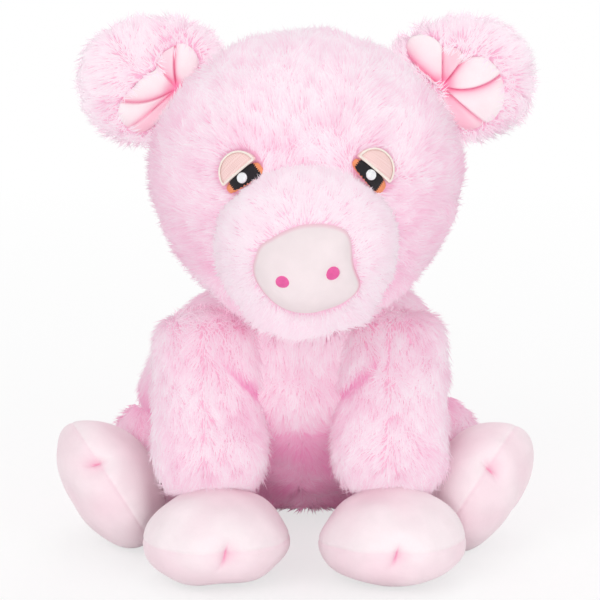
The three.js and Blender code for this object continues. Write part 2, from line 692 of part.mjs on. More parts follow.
/** The tail's middle line: a straight stub that runs on into a corkscrew. */
class TailLine extends THREE.Curve {
  constructor(root) {
    super();
    this.root = root;
    this.curl = 2 * Math.PI * TAIL_CURL_TURNS;
    this.curlLength = TAIL_CURL_TURNS * Math.hypot(2 * Math.PI * TAIL_CURL_RADIUS, TAIL_CURL_PITCH);
    this.straightShare = (2 * TAIL_STUB) / (2 * TAIL_STUB + this.curlLength);
  }

  getPoint(t, target = new THREE.Vector3()) {
    const straight = Math.min(t / this.straightShare, 1);
    const turn = (Math.max(t - this.straightShare, 0) / (1 - this.straightShare)) * this.curl;
    const out = TAIL_STUB * (2 * straight - 1) + (TAIL_CURL_PITCH * turn) / (2 * Math.PI);
    const side = TAIL_CURL_RADIUS * Math.sin(turn);
    const up = TAIL_CURL_RADIUS * (1 - Math.cos(turn));
    return target.set(side, out, up).applyAxisAngle(X_AXIS, TAIL_RISE).add(this.root);
  }
}

function tailPieces() {
  const t = (TAIL_HEIGHT + FLOOR_CUT) / TORSO_HEIGHT;
  const root = pointOf(torsoForm, at(0, Math.sqrt(1 - (2 * t - 1) ** 2), 2 * t - 1), 0);
  const section = new THREE.Shape();
  for (let i = 0; i < TUBE_SIDES; i++) {
    const angle = (2 * Math.PI * i) / TUBE_SIDES;
    const corner = [TAIL_TUBE_RADIUS * Math.cos(angle), TAIL_TUBE_RADIUS * Math.sin(angle)];
    if (i === 0) section.moveTo(...corner);
    else section.lineTo(...corner);
  }
  section.closePath();
  const line = new TailLine(root);
  const steps = Math.round((TAIL_CURL_TURNS * TUBE_STEPS_PER_TURN) / (1 - line.straightShare));
  const tube = solidOf(new THREE.ExtrudeGeometry(section, { steps, extrudePath: line, bevelEnabled: false }));
  const joint = { pivot: root, axis: Z_AXIS, low: -TAIL_WAG, high: TAIL_WAG };
  joints.tail_wag = joint;
  const torso = passing(stuffed(torsoForm, SLIP_GAP, BODY_FACETS), joint);
  return { tail: tube.subtract(torso).subtract(stuffed(torsoForm, SEAM_GAP, BODY_FACETS)) };
}

// Assembly

const materialOf = [
  [/filling/, "filling"],
  [/pellet/, "pelletCloth"],
  [/muzzle/, "muzzleFur"],
  [/hoof/, "hoofVelour"],
  [/nose/, "noseVelour"],
  [/nostril/, "nostrilThread"],
  [/lining/, "liningVelour"],
  [/eyelid_rim/, "rimThread"],
  [/eyelid/, "lidVelour"],
  [/iris/, "irisThread"],
  [/pupil/, "pupilThread"],
  [/glint/, "glintThread"],
  [/tail/, "tailVelour"],
  [/skin|sleeve|ear_outer/, "fur"],
];

/** The flat-shaded mesh of a solid. */
function meshOf(name, solid) {
  const { vertProperties, triVerts } = solid.getMesh();
  const geometry = new THREE.BufferGeometry();
  geometry.setAttribute("position", new THREE.BufferAttribute(vertProperties, 3));
  geometry.setIndex(new THREE.BufferAttribute(triVerts, 1));
  const faceted = geometry.toNonIndexed();
  faceted.computeVertexNormals();
  const [, slot] = materialOf.find(([pattern]) => pattern.test(name));
  const mesh = new THREE.Mesh(faceted, MATERIALS[slot].clone());
  mesh.name = name;
  return mesh;
}

const pig = new THREE.Group();
const pieces = Object.assign(
  {},
  torsoPieces(),
  headPieces(),
  ...SIDES.map(earPieces),
  ...SIDES.map(frontLegPieces),
  ...SIDES.map(hindLegPieces),
  tailPieces(),
);
for (const [name, solid] of Object.entries(pieces)) pig.add(meshOf(name, solid));

const box = new THREE.Box3().setFromObject(pig);
const middle = box.getCenter(new THREE.Vector3());
pig.position.set(-middle.x, -middle.y, 0);
pig.userData.joints = joints;

export default pig;
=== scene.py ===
"""A seated plush pig, dressed as a soft-toy maker dresses it: cloth bags with a long pile, velour hooves and
nose, pleated ear linings, and embroidered eyes and nostrils. Lengths are in metres, Z is up, and the pig
looks along -Y, so +X is its own left."""

import json
import math

import bpy
import numpy as np
from mathutils import Matrix


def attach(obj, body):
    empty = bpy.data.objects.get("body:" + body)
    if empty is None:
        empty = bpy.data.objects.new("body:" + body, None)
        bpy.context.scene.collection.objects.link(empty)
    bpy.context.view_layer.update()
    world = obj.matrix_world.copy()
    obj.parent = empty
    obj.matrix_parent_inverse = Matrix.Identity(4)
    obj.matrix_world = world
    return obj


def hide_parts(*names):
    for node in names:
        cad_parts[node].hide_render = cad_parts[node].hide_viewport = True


bl_info = {
    "name": "Plush pig",
    "version": (1, 0, 0),
    "blender": (4, 5, 0),
    "location": "3D View > Sidebar > Plush pig",
    "description": "Builds a seated plush pig from fur bags, velour covers and embroidery",
    "category": "Add Mesh",
}

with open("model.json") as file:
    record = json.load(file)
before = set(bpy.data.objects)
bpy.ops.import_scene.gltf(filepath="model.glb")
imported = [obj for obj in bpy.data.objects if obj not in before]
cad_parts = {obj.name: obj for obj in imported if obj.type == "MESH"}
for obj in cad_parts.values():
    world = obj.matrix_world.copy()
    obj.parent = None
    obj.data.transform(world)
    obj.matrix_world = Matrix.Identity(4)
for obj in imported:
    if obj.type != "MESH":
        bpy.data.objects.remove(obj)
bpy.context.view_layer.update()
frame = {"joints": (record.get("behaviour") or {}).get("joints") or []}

MM = 0.001
X_AXIS, Y_AXIS, Z_AXIS = np.eye(3)
SIDES = (("left", 1), ("right", -1))
DOWN = -Z_AXIS
FRONT = -Y_AXIS

# Shape tables: shares of a form's size at even steps from its foot to its top
TORSO_WIDTHS = (1.5, 1.15, 1.05, 1.01, 1, 0.975, 0.965, 1.12, 1.34)
TORSO_DEPTHS = (1.6, 1.12, 0.98, 0.97, 0.985, 0.99, 0.99, 1.06, 1.25)
TORSO_SWAYS = (0, 0, -0.015, -0.024, -0.026, -0.02, 0, 0.02, 0.025)
TORSO_LEANS = (0.42, 0.385, 0.32, 0.27, 0.21, 0.16, 0.12, 0.07, 0.035)
HEAD_WIDTHS = (0.84, 0.87, 0.915, 0.95, 0.985, 1.01, 1.015, 1.02, 1.03)
HOOF_WIDTHS = (1.2, 1.11, 1.03, 0.97, 0.92)
SLEEVE_WIDTHS = (1, 1, 1, 1, 1.02, 1.05, 1.06)


def linear(red, green, blue):
    """A colour of 0 to 255 as it shows on a screen, as the light values that materials use."""
    share = np.array([red, green, blue]) / 255
    low = share / 12.92
    high = ((share + 0.055) / 1.055) ** 2.4
    return tuple(np.where(share <= 0.04045, low, high).tolist())


# Sizes and colours that a user would change


def size_of(name, description, millimetres):
    default = tuple(x * MM for x in millimetres)
    return bpy.props.FloatVectorProperty(
        name=name, description=description, default=default, subtype="XYZ", unit="LENGTH"
    )


def length_of(name, description, millimetres):
    default = millimetres * MM
    return bpy.props.FloatProperty(name=name, description=description, default=default, unit="LENGTH")


def angle_of(name, description, degrees):
    default = math.radians(degrees)
    return bpy.props.FloatProperty(name=name, description=description, default=default, unit="ROTATION")


def colour_of(name, description, *screen):
    default = linear(*screen)
    return bpy.props.FloatVectorProperty(
        name=name, description=description, default=default, subtype="COLOR", min=0, max=1
    )


class PigSizes(bpy.types.PropertyGroup):
    torso: size_of("Torso", "Width, depth and height of the torso bag", (158, 142, 136))
    head: size_of("Head", "Width, depth and height of the head", (153, 140, 147.5))
    muzzle: size_of("Muzzle", "Width, depth and height of the muzzle", (89, 76, 82))
    nose: size_of("Nose", "Width, height and thickness of the nose pad", (50, 41, 6.5))
    ear: size_of("Ear", "Length, width and thickness of an ear", (74, 64, 27))
    hoof: size_of("Hoof", "Width, length and height of a hoof", (68, 66, 46))
    front_sleeve: size_of("Front sleeve", "Width, depth and roll over the shoulder", (57, 54, 20))
    hind_sleeve: size_of("Hind sleeve", "Width, height and roll over the hip", (60, 66, 26))
    eye_radius: length_of("Eye radius", "Radius of an embroidered eye", 9.9)
    skin_depth: length_of("Skin depth", "How far the cloth lies under the pile's surface", 5.5)
    pile_length: length_of("Pile length", "Length of a tuft of the long pile", 8.6)
    pile_width: length_of("Tuft width", "Width of a tuft of the long pile", 0.62)
    pile_lay: angle_of("Pile lay", "How far the pile is combed over from upright", 54)
    pile_density: bpy.props.FloatProperty(
        name="Tufts per square centimetre",
        description="How closely the tufts stand",
        default=160,
        min=1,
        max=300,
    )


class PigColours(bpy.types.PropertyGroup):
    # The pile's root colour is partly painted shade within the pile, which casts no shadow on itself
    pile_root_and_shade: colour_of("Pile root", "Deep colour between the tufts", 248, 142, 196)
    pile_tip: colour_of("Pile tip", "Colour at the ends of the tufts", 254, 240, 248)
    backing: colour_of("Backing", "Knitted cloth that the pile stands on", 249, 184, 213)
    # The muzzle's root colour is partly painted shade within its pile
    muzzle_root_and_shade: colour_of("Muzzle root", "Deep colour between the muzzle's tufts", 250, 200, 224)
    muzzle_tip: colour_of("Muzzle tip", "Colour at the ends of the muzzle's tufts", 253, 239, 247)
    hoof: colour_of("Hoof", "Velour of the hooves", 246, 235, 238)
    # Painted shade in the hooves' creases, on their undersides and next to the fur
    hoof_crease_shade: colour_of("Hoof fold", "Velour deep in the hoof's creases", 240, 168, 196)
    nose: colour_of("Nose", "Velour of the nose pad", 235, 223, 225)
    # Painted shade in the nose pad's seam
    nose_seam_shade: colour_of("Nose fold", "Velour in the nose's seam", 232, 160, 186)
    nostril: colour_of("Nostril", "Thread of the nostrils", 240, 98, 168)
    lining: colour_of("Ear lining", "Velour of the ear linings", 247, 236, 239)
    # Painted shade in the ear linings' pleats
    lining_crease_shade: colour_of("Lining fold", "Velour deep in the ear's pleats", 246, 128, 172)
    lid: colour_of("Eyelid", "Velour of the eyelids", 245, 216, 213)
    lid_fold: colour_of("Eyelid quilting", "Velour between the eyelid's stitches", 216, 160, 158)
    rim: colour_of("Lid rim", "Thread around the eyelids", 255, 240, 230)
    iris: colour_of("Iris", "Thread of the iris", 246, 152, 104)
    pupil: colour_of("Pupil", "Thread of the pupil", 24, 18, 24)
    glint: colour_of("Glint", "Thread of the eye's glint", 246, 248, 252)
    tail: colour_of("Tail", "Velour of the tail", 246, 186, 212)
    wad: colour_of("Wad", "Fibre of the neck's wad", 247, 196, 218)


# Vectors and smooth noise


def unit(vectors):
    return vectors / np.maximum(np.linalg.norm(vectors, axis=-1, keepdims=True), 1e-12)


def blend_in(x, start, end):
    """0 before start, 1 after end, and a smooth S between them."""
    t = np.clip((x - start) / (end - start), 0, 1)
    return t * t * (3 - 2 * t)


def bell(x, width, *more):
    """1 where x is 0, and less with its distance in widths: exp(-(x / width)^2), and the same for each
    further pair of a value and its width."""
    total = (x / width) ** 2
    for value, its_width in zip(more[::2], more[1::2]):
        total = total + (value / its_width) ** 2
    return np.exp(-total)


def turn_about(axis, angle):
    """The matrix that turns by an angle about X (0), Y (1) or Z (2)."""
    c, s = math.cos(angle), math.sin(angle)
    a, b = (axis + 1) % 3, (axis + 2) % 3
    matrix = np.eye(3)
    matrix[a, a] = matrix[b, b] = c
    matrix[a, b], matrix[b, a] = -s, s
    return matrix


def ways_at(z_way, x_way):
    """A turn whose Z runs along z_way and whose X is as near x_way as it can be, as columns."""
    z = unit(np.asarray(z_way, float))
    y = unit(np.cross(z, x_way))
    return np.stack([np.cross(y, z), y, z], axis=1)


class Ripple:
    """Smooth noise in space: a sum of sine waves of about one wavelength, running in random ways."""

    def __init__(self, seed, wavelength, waves=12):
        random = np.random.default_rng(seed)
        ways = unit(random.normal(size=(waves, 3)))
        self.ways = ways
        self.rates = 2 * np.pi / wavelength * random.uniform(0.7, 1.3, waves)
        self.phases = random.uniform(0, 2 * np.pi, waves)
        self.scale = math.sqrt(2 / waves)

    def value(self, points):
        return self.scale * np.sin(points @ self.ways.T * self.rates + self.phases).sum(-1)

    def slope(self, points):
        """The way in which the noise rises, of about unit length."""
        return self.scale * np.cos(points @ self.ways.T * self.rates + self.phases) @ self.ways


def along(shares, t):
    """The value at share t of evenly spaced shares, on a smooth curve through them."""
    shares = np.asarray(shares, float)
    last = len(shares) - 1
    place = np.clip(t, 0, 1) * last
    i = np.minimum(np.floor(place).astype(int), last - 1)
    f = place - i
    a, b, c, d = (shares[np.clip(i + k, 0, last)] for k in (-1, 0, 1, 2))
    return b + 0.5 * f * (c - a + f * (2 * a - 5 * b + 4 * c - d + f * (3 * (b - c) + d - a)))


def on_ball(polar, around):
    """The point of the unit ball at a polar angle from -90 to 90 degrees and an angle around Z."""
    polar, around = np.broadcast_arrays(polar, around)
    return np.stack([np.cos(polar) * np.cos(around), np.cos(polar) * np.sin(around), np.sin(polar)], axis=-1)


def circle(count):
    """Angles spread evenly once around."""
    return np.arange(count) * 2 * np.pi / count


def rings_of_ball(count, around):
    """Rings of points around the unit ball from its foot to its top, without the poles."""
    return on_ball(np.linspace(-np.pi / 2, np.pi / 2, count + 2)[1:-1, None], around)


def spokes(side, lift, angle):
    """The ways from each point of a line out to its ring, at angles from its side way to its lift way."""
    return np.cos(angle)[:, None] * side[:, None] + np.sin(angle)[:, None] * lift[:, None]


def smooth_ring(knots):
    """A round outline through knots of (bearing in degrees, reach in millimetres), as a function of the
    bearing in radians. The straight runs between the knots are rounded over 4 degrees."""
    bearings, reaches = np.array(knots).T
    degrees = np.arange(360.0)
    turn = (degrees - bearings[0]) % 360 + bearings[0]
    reach = np.interp(turn, [*bearings, bearings[0] + 360], [*reaches, reaches[0]])
    weights = np.exp(-((np.arange(-8, 9) / 3.5) ** 2))
    reach = sum(w * np.roll(reach, k - 8) for k, w in enumerate(weights)) / weights.sum() * MM
    return lambda bearing: np.interp(np.degrees(bearing) % 360, [*degrees, 360], [*reach, reach[0]])


class Form:
    """A stuffed form: a ball, each height of which is widened, deepened, swayed aside and leant back by its
    shares. Its ends are blunted, so that radius^b + height^b = 1, and dent pulls points in."""

    def __init__(
        self, size, place, turn=None, width=(1, 1), depth=None, sway=(0, 0), lean=(0, 0), blunt=2, dent=None
    ):
        self.half = np.asarray(size, float) / 2
        self.place = np.asarray(place, float)
        self.turn = np.eye(3) if turn is None else turn
        self.width, self.depth = width, width if depth is None else depth
        self.sway, self.lean, self.blunt, self.dent = sway, lean, blunt, dent

    def point(self, u, grow=0.0):
        """Where the form puts the point u of the unit ball, let out by grow."""
        t = (1 + u[..., 2]) / 2
        height = np.clip(np.abs(u[..., 2]), 0, 1)
        radius = np.sqrt(np.maximum(1 - height**2, 0))
        blunted = np.maximum(1 - height**self.blunt, 0) ** (1 / self.blunt)
        fill = np.where(radius > 1e-5, blunted / np.maximum(radius, 1e-5), 1)
        if self.dent:
            fill = fill * self.dent(u)
        x, y, z = self.half
        local = np.stack(
            [
                (x + grow) * u[..., 0] * fill * along(self.width, t) + 2 * x * along(self.sway, t),
                (y + grow) * u[..., 1] * fill * along(self.depth, t) + 2 * y * along(self.lean, t),
                (z + grow) * u[..., 2],
            ],
            axis=-1,
        )
        return local @ self.turn.T + self.place

    def ball_of(self, points, grow=0.0):
        """The point as the form's ball sees it, before blunting: 1 from the axis is the side's surface."""
        local = (points - self.place) @ self.turn
        x, y, z = self.half
        up = local[..., 2] / (z + grow)
        t = (1 + up) / 2
        across = (local[..., 0] - 2 * x * along(self.sway, t)) / ((x + grow) * along(self.width, t))
        fore = (local[..., 1] - 2 * y * along(self.lean, t)) / ((y + grow) * along(self.depth, t))
        return np.stack([across, fore, up], axis=-1)

    def level(self, points, grow=0.0):
        """1 on the surface, less inside and more outside."""
        q = self.ball_of(points, grow)
        radius = np.hypot(q[..., 0], q[..., 1])
        if self.dent:
            height = np.clip(q[..., 2], -1, 1)
            share = np.sqrt(1 - height**2) / np.maximum(radius, 1e-9)
            u = np.stack([q[..., 0] * share, q[..., 1] * share, height], axis=-1)
            radius = radius / self.dent(u)
        return (radius**self.blunt + np.abs(q[..., 2]) ** self.blunt) ** (1 / self.blunt)

    def rows(self, grow, rings, columns):
        """Rings of points from the form's foot to its top, without the poles."""
        return self.point(rings_of_ball(rings, circle(columns)), grow)

    def laid_on(self, points, gap=0.0):
        """The points, with each that is inside the form pushed out from its middle to its surface."""
        out = points.copy()
        for _ in range(3):
            level = self.level(out, gap)
            inside = level < 1
            out[inside] = self.place + (out[inside] - self.place) / np.maximum(level[inside], 0.2)[:, None]
        return out

    def away(self, points):
        """The level way from the form's middle to each point."""
        return unit((points - self.place) * [1, 1, 0])

    def near(self, points, reach, half=None):
        """1 on the form and inside it, and less with the distance outside it."""
        half = self.half.min() if half is None else half
        return np.exp(-np.maximum(self.level(points) - 1, 0) * half / reach)

    def exit_along(self, points, way, grow, low, high, steps):
        """Halves the run from low to high, over and over, to where the line along way leaves the form."""
        low, high = np.full(points.shape[:-1], low), np.full(points.shape[:-1], high)
        for _ in range(steps):
            half = (low + high) / 2
            inside = self.level(points + half[..., None] * way, grow) < 1
            low, high = np.where(inside, half, low), np.where(inside, high, half)
        return low, high

    def out_along(self, points, way, gap=0.0, reach=0.12):
        """The points, with each that is inside the form moved along its way until it leaves it."""
        inside = self.level(points, gap) < 1
        _, far = self.exit_along(points, way, gap, 0.0, reach, 18)
        return np.where(inside[..., None], points + far[..., None] * way, points)

    def surface_along(self, points, way, grow, reach=0.03):
        """Where the line through each point along way leaves the form let out by grow."""
        low, high = self.exit_along(points, way, grow, -reach, reach, 22)
        return points + ((low + high) / 2)[..., None] * way

    def turned(self, pivot, matrix):
        """A copy of the form, turned about a pivot."""
        copy = Form((0, 0, 0), pivot + matrix @ (self.place - pivot), matrix @ self.turn)
        for name in ("half", "width", "depth", "sway", "lean", "blunt", "dent"):
            setattr(copy, name, getattr(self, name))
        return copy


# Places of the forms, from the neck's joint in the frame. CLEFT_HEIGHT is a share of half the hoof's height,
# and TAIL_RISE a share of the torso's. EYE_BAND is how far down the iris reaches from the lid's edge

NECK = np.array(next(j["pos_m"] for j in frame["joints"] if j["name"] == "neck_turn"))
ORIGIN = NECK - np.array([3, -5, 112]) * MM
HEAD = NECK + np.array([0, -20, 75]) * MM
MUZZLE = HEAD + np.array([0, -60, -17.7]) * MM
NOSE_TWIST = math.radians(10)
EYE_SPACING, EYE_RISE, EYE_LEAN, EYE_SINK = 64 * MM, 17.7 * MM, 1.4 * MM, 3.6 * MM
LID_SLOPE = math.radians(38)
EAR_REACH, EAR_BACK, EAR_BEARING = 88 * MM, 10 * MM, math.radians(57)
EAR_TILTS = {"left": math.radians(-8), "right": math.radians(7)}
EAR_POWER = 2.4
CLEFT_HEIGHT = -0.12
NOSTRIL_ASIDE, NOSTRIL_DROP = 11.75 * MM, 1.4 * MM
EYE_BAND, LID_RISE, LID_STITCH = 6.6 * MM, 3.6 * MM, 0.4 * MM
TAIL_RISE, TAIL_TILT = 52.5 / 136, math.radians(25)

# The nose pad's outline as (bearing in degrees, reach in millimetres): a bell with a waist on its left side
NOSE_OUTLINE = (
    (-49, 24.3), (-34, 26.2), (-26, 25.8), (-15, 23), (-5, 21.6), (6, 21.6), (17, 23), (26, 24.8), (34, 25.7),
    (43, 25), (53, 23.8), (64, 22.7), (75, 21.9), (94, 21.2), (110, 21), (129, 22.2), (137, 23.6), (145, 24.2),
    (157, 24.1), (168, 24.6), (182, 24), (191, 23.2), (204, 22.3), (218, 22), (231, 21.8), (255, 21.4),
    (270, 21.3), (285, 21.4), (298, 22.6),
)

# An ear lining seen from the front: its root from the head's middle, in millimetres. Then its outline, as
# (bearing in degrees, reach in millimetres), its creases, as (bearing at the rim, further turn at the root,
# width in millimetres, depth from 0 to 1), and its lobes with painted shade, as (bearing, half width, depth).
# A crease's depth sets both its fold and the painted shade in it.
LININGS = {
    "left": {
        "root": (65.5, 46.5),
        "outline": (
            (-90, 2.4), (-76, 14), (-70, 21.6), (-58, 26), (-48, 27.4), (-41, 27.6), (-36, 30), (-23, 30.8),
            (-12, 31.2), (-3, 30.2), (7, 29), (14, 28.8), (20, 27.4), (34, 25), (45, 20), (53, 16.3),
            (60, 18.6), (68, 19.6), (78, 19), (90, 18.6), (98, 22.6), (110, 26), (125, 27.4), (134, 25.4),
            (141, 19), (148, 9.6), (162, 4), (185, 2.2),
        ),
        "creases": (
            (-41, -2, 1.2, 0.8), (12, -28, 1.5, 1.0), (53, 4, 1.4, 0.95), (90, 3, 1.1, 0.8),
            (140, 4, 2.4, 0.9),
        ),
        "shades": ((-62, 16, 0.45), (70, 14, 0.35)),
    },
    "right": {
        "root": (-62.4, 45.4),
        "outline": (
            (-4, 2.2), (8, 3), (22, 6.2), (40, 13), (59, 19), (76, 21.6), (86, 22), (97, 19.8), (108, 18.8),
            (122, 16.4), (132, 14), (139, 13.6), (152, 15.4), (164, 17.4), (180, 21.2), (192, 27.6),
            (204, 31.4), (213, 31.8), (226, 30.4), (234, 27.4), (239, 21), (247, 10), (258, 3), (280, 2.2),
        ),
        "creases": (
            (92, 10, 1.0, 1.0), (128, 2, 1.6, 0.75), (193, 20, 1.3, 0.85), (221, 2, 1.2, 0.7),
            (37, -6, 3.2, 0.85),
        ),
        "shades": ((230, 9, 0.4), (110, 16, 0.25)),
    },
}


def above_seam(u):
    """How far above the chest's V seam a point of the torso's ball is, and how far on its front."""
    angle = np.abs(np.arctan2(u[..., 0], -u[..., 1]))
    seam = 0.505 + 0.31 * blend_in(angle, 0.25, 0.95)
    return (1 + u[..., 2]) / 2 - seam, 1 - blend_in(angle, 0.9, 1.5)


def bib(u):
    """The chest panel of the torso stands out above its V seam and falls back below it."""
    over, ahead = above_seam(u)
    return 1 + ahead * (0.035 * bell(over - 0.06, 0.09) - 0.045 * bell(over + 0.05, 0.08))


def squared(u):
    """An ear's outline stands out from a round one: |x|^2.4 + |y|^2.4 = 1."""
    radius = np.maximum(np.hypot(u[..., 0], u[..., 1]), 1e-4)
    total = np.abs(u[..., 0] / radius) ** EAR_POWER + np.abs(u[..., 1] / radius) ** EAR_POWER
    return np.maximum(total, 1e-4) ** (-1 / EAR_POWER)


def cleft(u):
    """A hoof's cleft draws its toe in, broadly and then along a narrow crease."""
    front, high = np.clip(-u[..., 1], 0, 1), u[..., 2] - CLEFT_HEIGHT
    wide = 0.11 * bell(u[..., 0], 0.2, high, 0.36)
    narrow = 0.06 * bell(beside_cleft(u), 0.045, high, 0.22)
    return 1 - front * (wide + narrow)


def beside_cleft(u):
    """How far beside a hoof's cleft a point is. The cleft bends aside below: x = 0.17 z - 0.4 z^2."""
    low = np.maximum(-0.07 - u[..., 2], 0)
    return u[..., 0] + 0.03 - 0.17 * (u[..., 2] + 0.07) + 0.4 * low**2


def hoof_form(size, x, y, turn, pitch, roll):
    """A hoof with its toe turned, pitched up and rolled. The lowest of its 9 rings of 14 points stands at
    the floor."""
    matrix = turn_about(2, turn) @ turn_about(0, -pitch) @ turn_about(1, roll)
    form = Form(size, (0, 0, 0), matrix, HOOF_WIDTHS, dent=cleft)
    polar = np.linspace(-np.pi / 2, np.pi / 2, 9)[:, None]
    lowest = form.point(on_ball(polar, circle(14)))[..., 2].min()
    form.place = ORIGIN + np.array([x, y, -lowest - 0.5 * MM])
    return form


def sleeve_form(size, root, ankle, blunt, width=(1, 1)):
    """A sleeve from beyond its root to the ankle. The size's last value is its roll over the root."""
    way = ankle - root
    length = np.linalg.norm(way) + size[2]
    middle = ankle - unit(way) * length / 2
    return Form((size[0], size[1], length), middle, ways_at(way, X_AXIS), width, blunt=blunt)


def forms(sizes):
    """Every stuffed form by name."""
    made = {
        "torso": Form(
            sizes.torso, ORIGIN + np.array([0, 0, sizes.torso[2] / 2 - 0.5 * MM]), None,
            TORSO_WIDTHS, TORSO_DEPTHS, TORSO_SWAYS, TORSO_LEANS, dent=bib,
        ),
        "head": Form(sizes.head, HEAD, None, HEAD_WIDTHS, (1, 1)),
        "muzzle": Form(sizes.muzzle, MUZZLE),
    }
    for word, sign in SIDES:
        outward = np.array([sign * math.sin(EAR_BEARING), 0, math.cos(EAR_BEARING)])
        middle = HEAD + np.array([0, EAR_BACK, 0]) + outward * EAR_REACH
        tilt = EAR_TILTS[word]
        long_way = np.array([sign * math.cos(tilt), 0, -math.sin(tilt)])
        made[f"ear_{word}"] = Form(sizes.ear, middle, ways_at(FRONT, long_way), dent=squared)

        turn = math.radians(8 - sign * 4)
        heel = np.array([sign * 43.5, 15 - 69.5, 0]) * MM
        foot = turn_about(2, turn) @ np.array([0, -15 * MM, 0]) + heel
        hoof = hoof_form(sizes.hoof, foot[0], foot[1], turn, math.radians(5), 0)
        ankle = ORIGIN + heel
        ankle[2] = hoof.place[2] + 17 * MM
        root = ORIGIN + np.array([sign * 45, -30, 104]) * MM
        made[f"front_leg_{word}_hoof"] = hoof
        made[f"front_leg_{word}_sleeve"] = sleeve_form(sizes.front_sleeve, root, ankle, 5.5, SLEEVE_WIDTHS)

        root = np.array([sign * 50, 50, 38]) * MM
        foot = np.array([sign * 91, -18.5, 38]) * MM
        foot = turn_about(2, math.radians(-2.5)) @ (foot - root) + root
        turn, roll = math.radians(sign * 8), math.radians(-sign * 52)
        hoof = hoof_form(sizes.hoof, foot[0], foot[1], turn, math.radians(35), roll)
        root = root + ORIGIN
        ankle = hoof.place + unit(root - hoof.place) * 15 * MM
        made[f"hind_leg_{word}_hoof"] = hoof
        made[f"hind_leg_{word}_sleeve"] = sleeve_form(sizes.hind_sleeve, root, ankle, 2.6)
    return made


def eye_place(head, sign):
    """Where an eye lies on the head, and the turn whose X runs along the lid's edge and Y up across it."""
    x, z = sign * EYE_SPACING / 2, EYE_RISE + sign * EYE_LEAN / 2
    start = head.place + np.array([x, -head.half[1] / 2, z])
    point = head.surface_along(start, FRONT, 0, reach=0.08)
    q = head.ball_of(point)
    normal = unit(q / head.half)
    edge = np.array([math.cos(LID_SLOPE), 0, -sign * math.sin(LID_SLOPE)])
    return point, ways_at(normal, edge)


# Meshes


def mesh_object(name, points, faces, uvs):
    """An object from points, arrays of faces that have as many corners each, and arrays of corner UVs."""
    corners = np.concatenate([array.ravel() for array in faces])
    sizes = np.concatenate([np.full(len(array), array.shape[1]) for array in faces])
    mesh = bpy.data.meshes.new(name)
    mesh.vertices.add(len(points))
    mesh.loops.add(len(corners))
    mesh.polygons.add(len(sizes))
    mesh.vertices.foreach_set("co", np.asarray(points, np.float32).ravel())
    mesh.loops.foreach_set("vertex_index", np.asarray(corners, np.int32))
    mesh.polygons.foreach_set("loop_start", np.asarray(sizes.cumsum() - sizes, np.int32))
    mesh.update(calc_edges=True)
    mesh.shade_smooth()
    layer = mesh.uv_layers.new(name="OFBake")
    layer.data.foreach_set("uv", np.concatenate([array.ravel() for array in uvs]).astype(np.float32))
    obj = bpy.data.objects.new(name, mesh)
    bpy.context.scene.collection.objects.link(obj)
    return obj


def skin_object(name, points, faces, uvs):
    """An object of a closed skin, with its faces turned outwards."""
    a, b, c = (points[faces[0][:, k]] for k in range(3))
    if np.einsum("ij,ij->", a - points.mean(0), np.cross(b - a, c - a)) < 0:
        faces, uvs = [array[:, ::-1] for array in faces], [array[:, ::-1] for array in uvs]
    return mesh_object(name, points, faces, uvs)


def weave(grid):
    """The four corners of each face between the points of a grid."""
    corners = np.stack([grid[:-1, :-1], grid[:-1, 1:], grid[1:, 1:], grid[1:, :-1]], axis=2)
    return corners.reshape(-1, *corners.shape[2:])


def mark(obj, name, values):
    """Gives each point of a mesh a number that its material reads."""
    attribute = obj.data.attributes.new(name, "FLOAT", "POINT")
    attribute.data.foreach_set("value", np.asarray(values, np.float32).ravel())


def shell(name, rows, fold=None):
    """A closed skin through rows of points, with a pole at each end. fold is 0 where the cloth takes its deep
    colour, which on most pieces is painted shade in a crease, and 1 on open cloth. UVs run round and along
    the rows."""
    count, columns = rows.shape[:2]
    points = np.concatenate([rows.reshape(-1, 3), [rows[0].mean(0), rows[-1].mean(0)]])
    j = np.arange(columns + 1)
    net = np.arange(count)[:, None] * columns + j % columns
    steps = np.linalg.norm(np.diff(rows, axis=0), axis=-1).mean(-1)
    v = 0.01 + 0.98 * (np.concatenate([[0.5 * steps[0]], steps]).cumsum() / (steps.sum() + steps[0]))
    place = np.stack(np.broadcast_arrays(j / columns, v[:, None]), axis=-1)
    faces, uvs = [weave(net)], [weave(place)]
    left, right = slice(None, -1), slice(1, None)
    for row, pair in ((0, (right, left)), (-1, (left, right))):
        pole = np.full(columns, len(points) - 2 - row)
        pole_uv = np.stack([(j[:-1] + 0.5) / columns, np.full(columns, -float(row))], axis=-1)
        faces.append(np.stack([pole, *(net[row, side] for side in pair)], axis=1))
        uvs.append(np.stack([pole_uv, *(place[row, side] for side in pair)], axis=1))
    obj = skin_object(name, points, faces, uvs)
    if fold is None:
        fold = np.ones((count, columns))
    mark(obj, "fold", np.concatenate([fold.ravel(), [fold[0].mean(), fold[-1].mean()]]))
    return obj


def loop_tube(name, rows):
    """A closed tube through rings of points that run round and back to the first."""
    count, columns = rows.shape[:2]
    i, j = np.arange(count + 1)[:, None], np.arange(columns + 1)
    place = np.stack(np.broadcast_arrays(j / columns, i / count), axis=-1)
    return skin_object(name, rows.reshape(-1, 3), [weave(i % count * columns + j % columns)], [weave(place)])


def finish_pile(obj, material, body):
    """Gives a piece of pile its finish and body. Fibres pass light on, so they shade no neighbour, and the
    pile's colour carries painted shade instead.
    """
    obj.visible_shadow = False
    obj.visible_diffuse = False
    finish_piece(obj, material, body)


def finish_piece(obj, material, body, nodes=()):
    """Gives a piece its material and the body that it rides on, and hides the solids that it stands for."""
    obj.data.materials.append(material)
    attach(obj, body)
    if nodes:
        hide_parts(*nodes)


# Materials


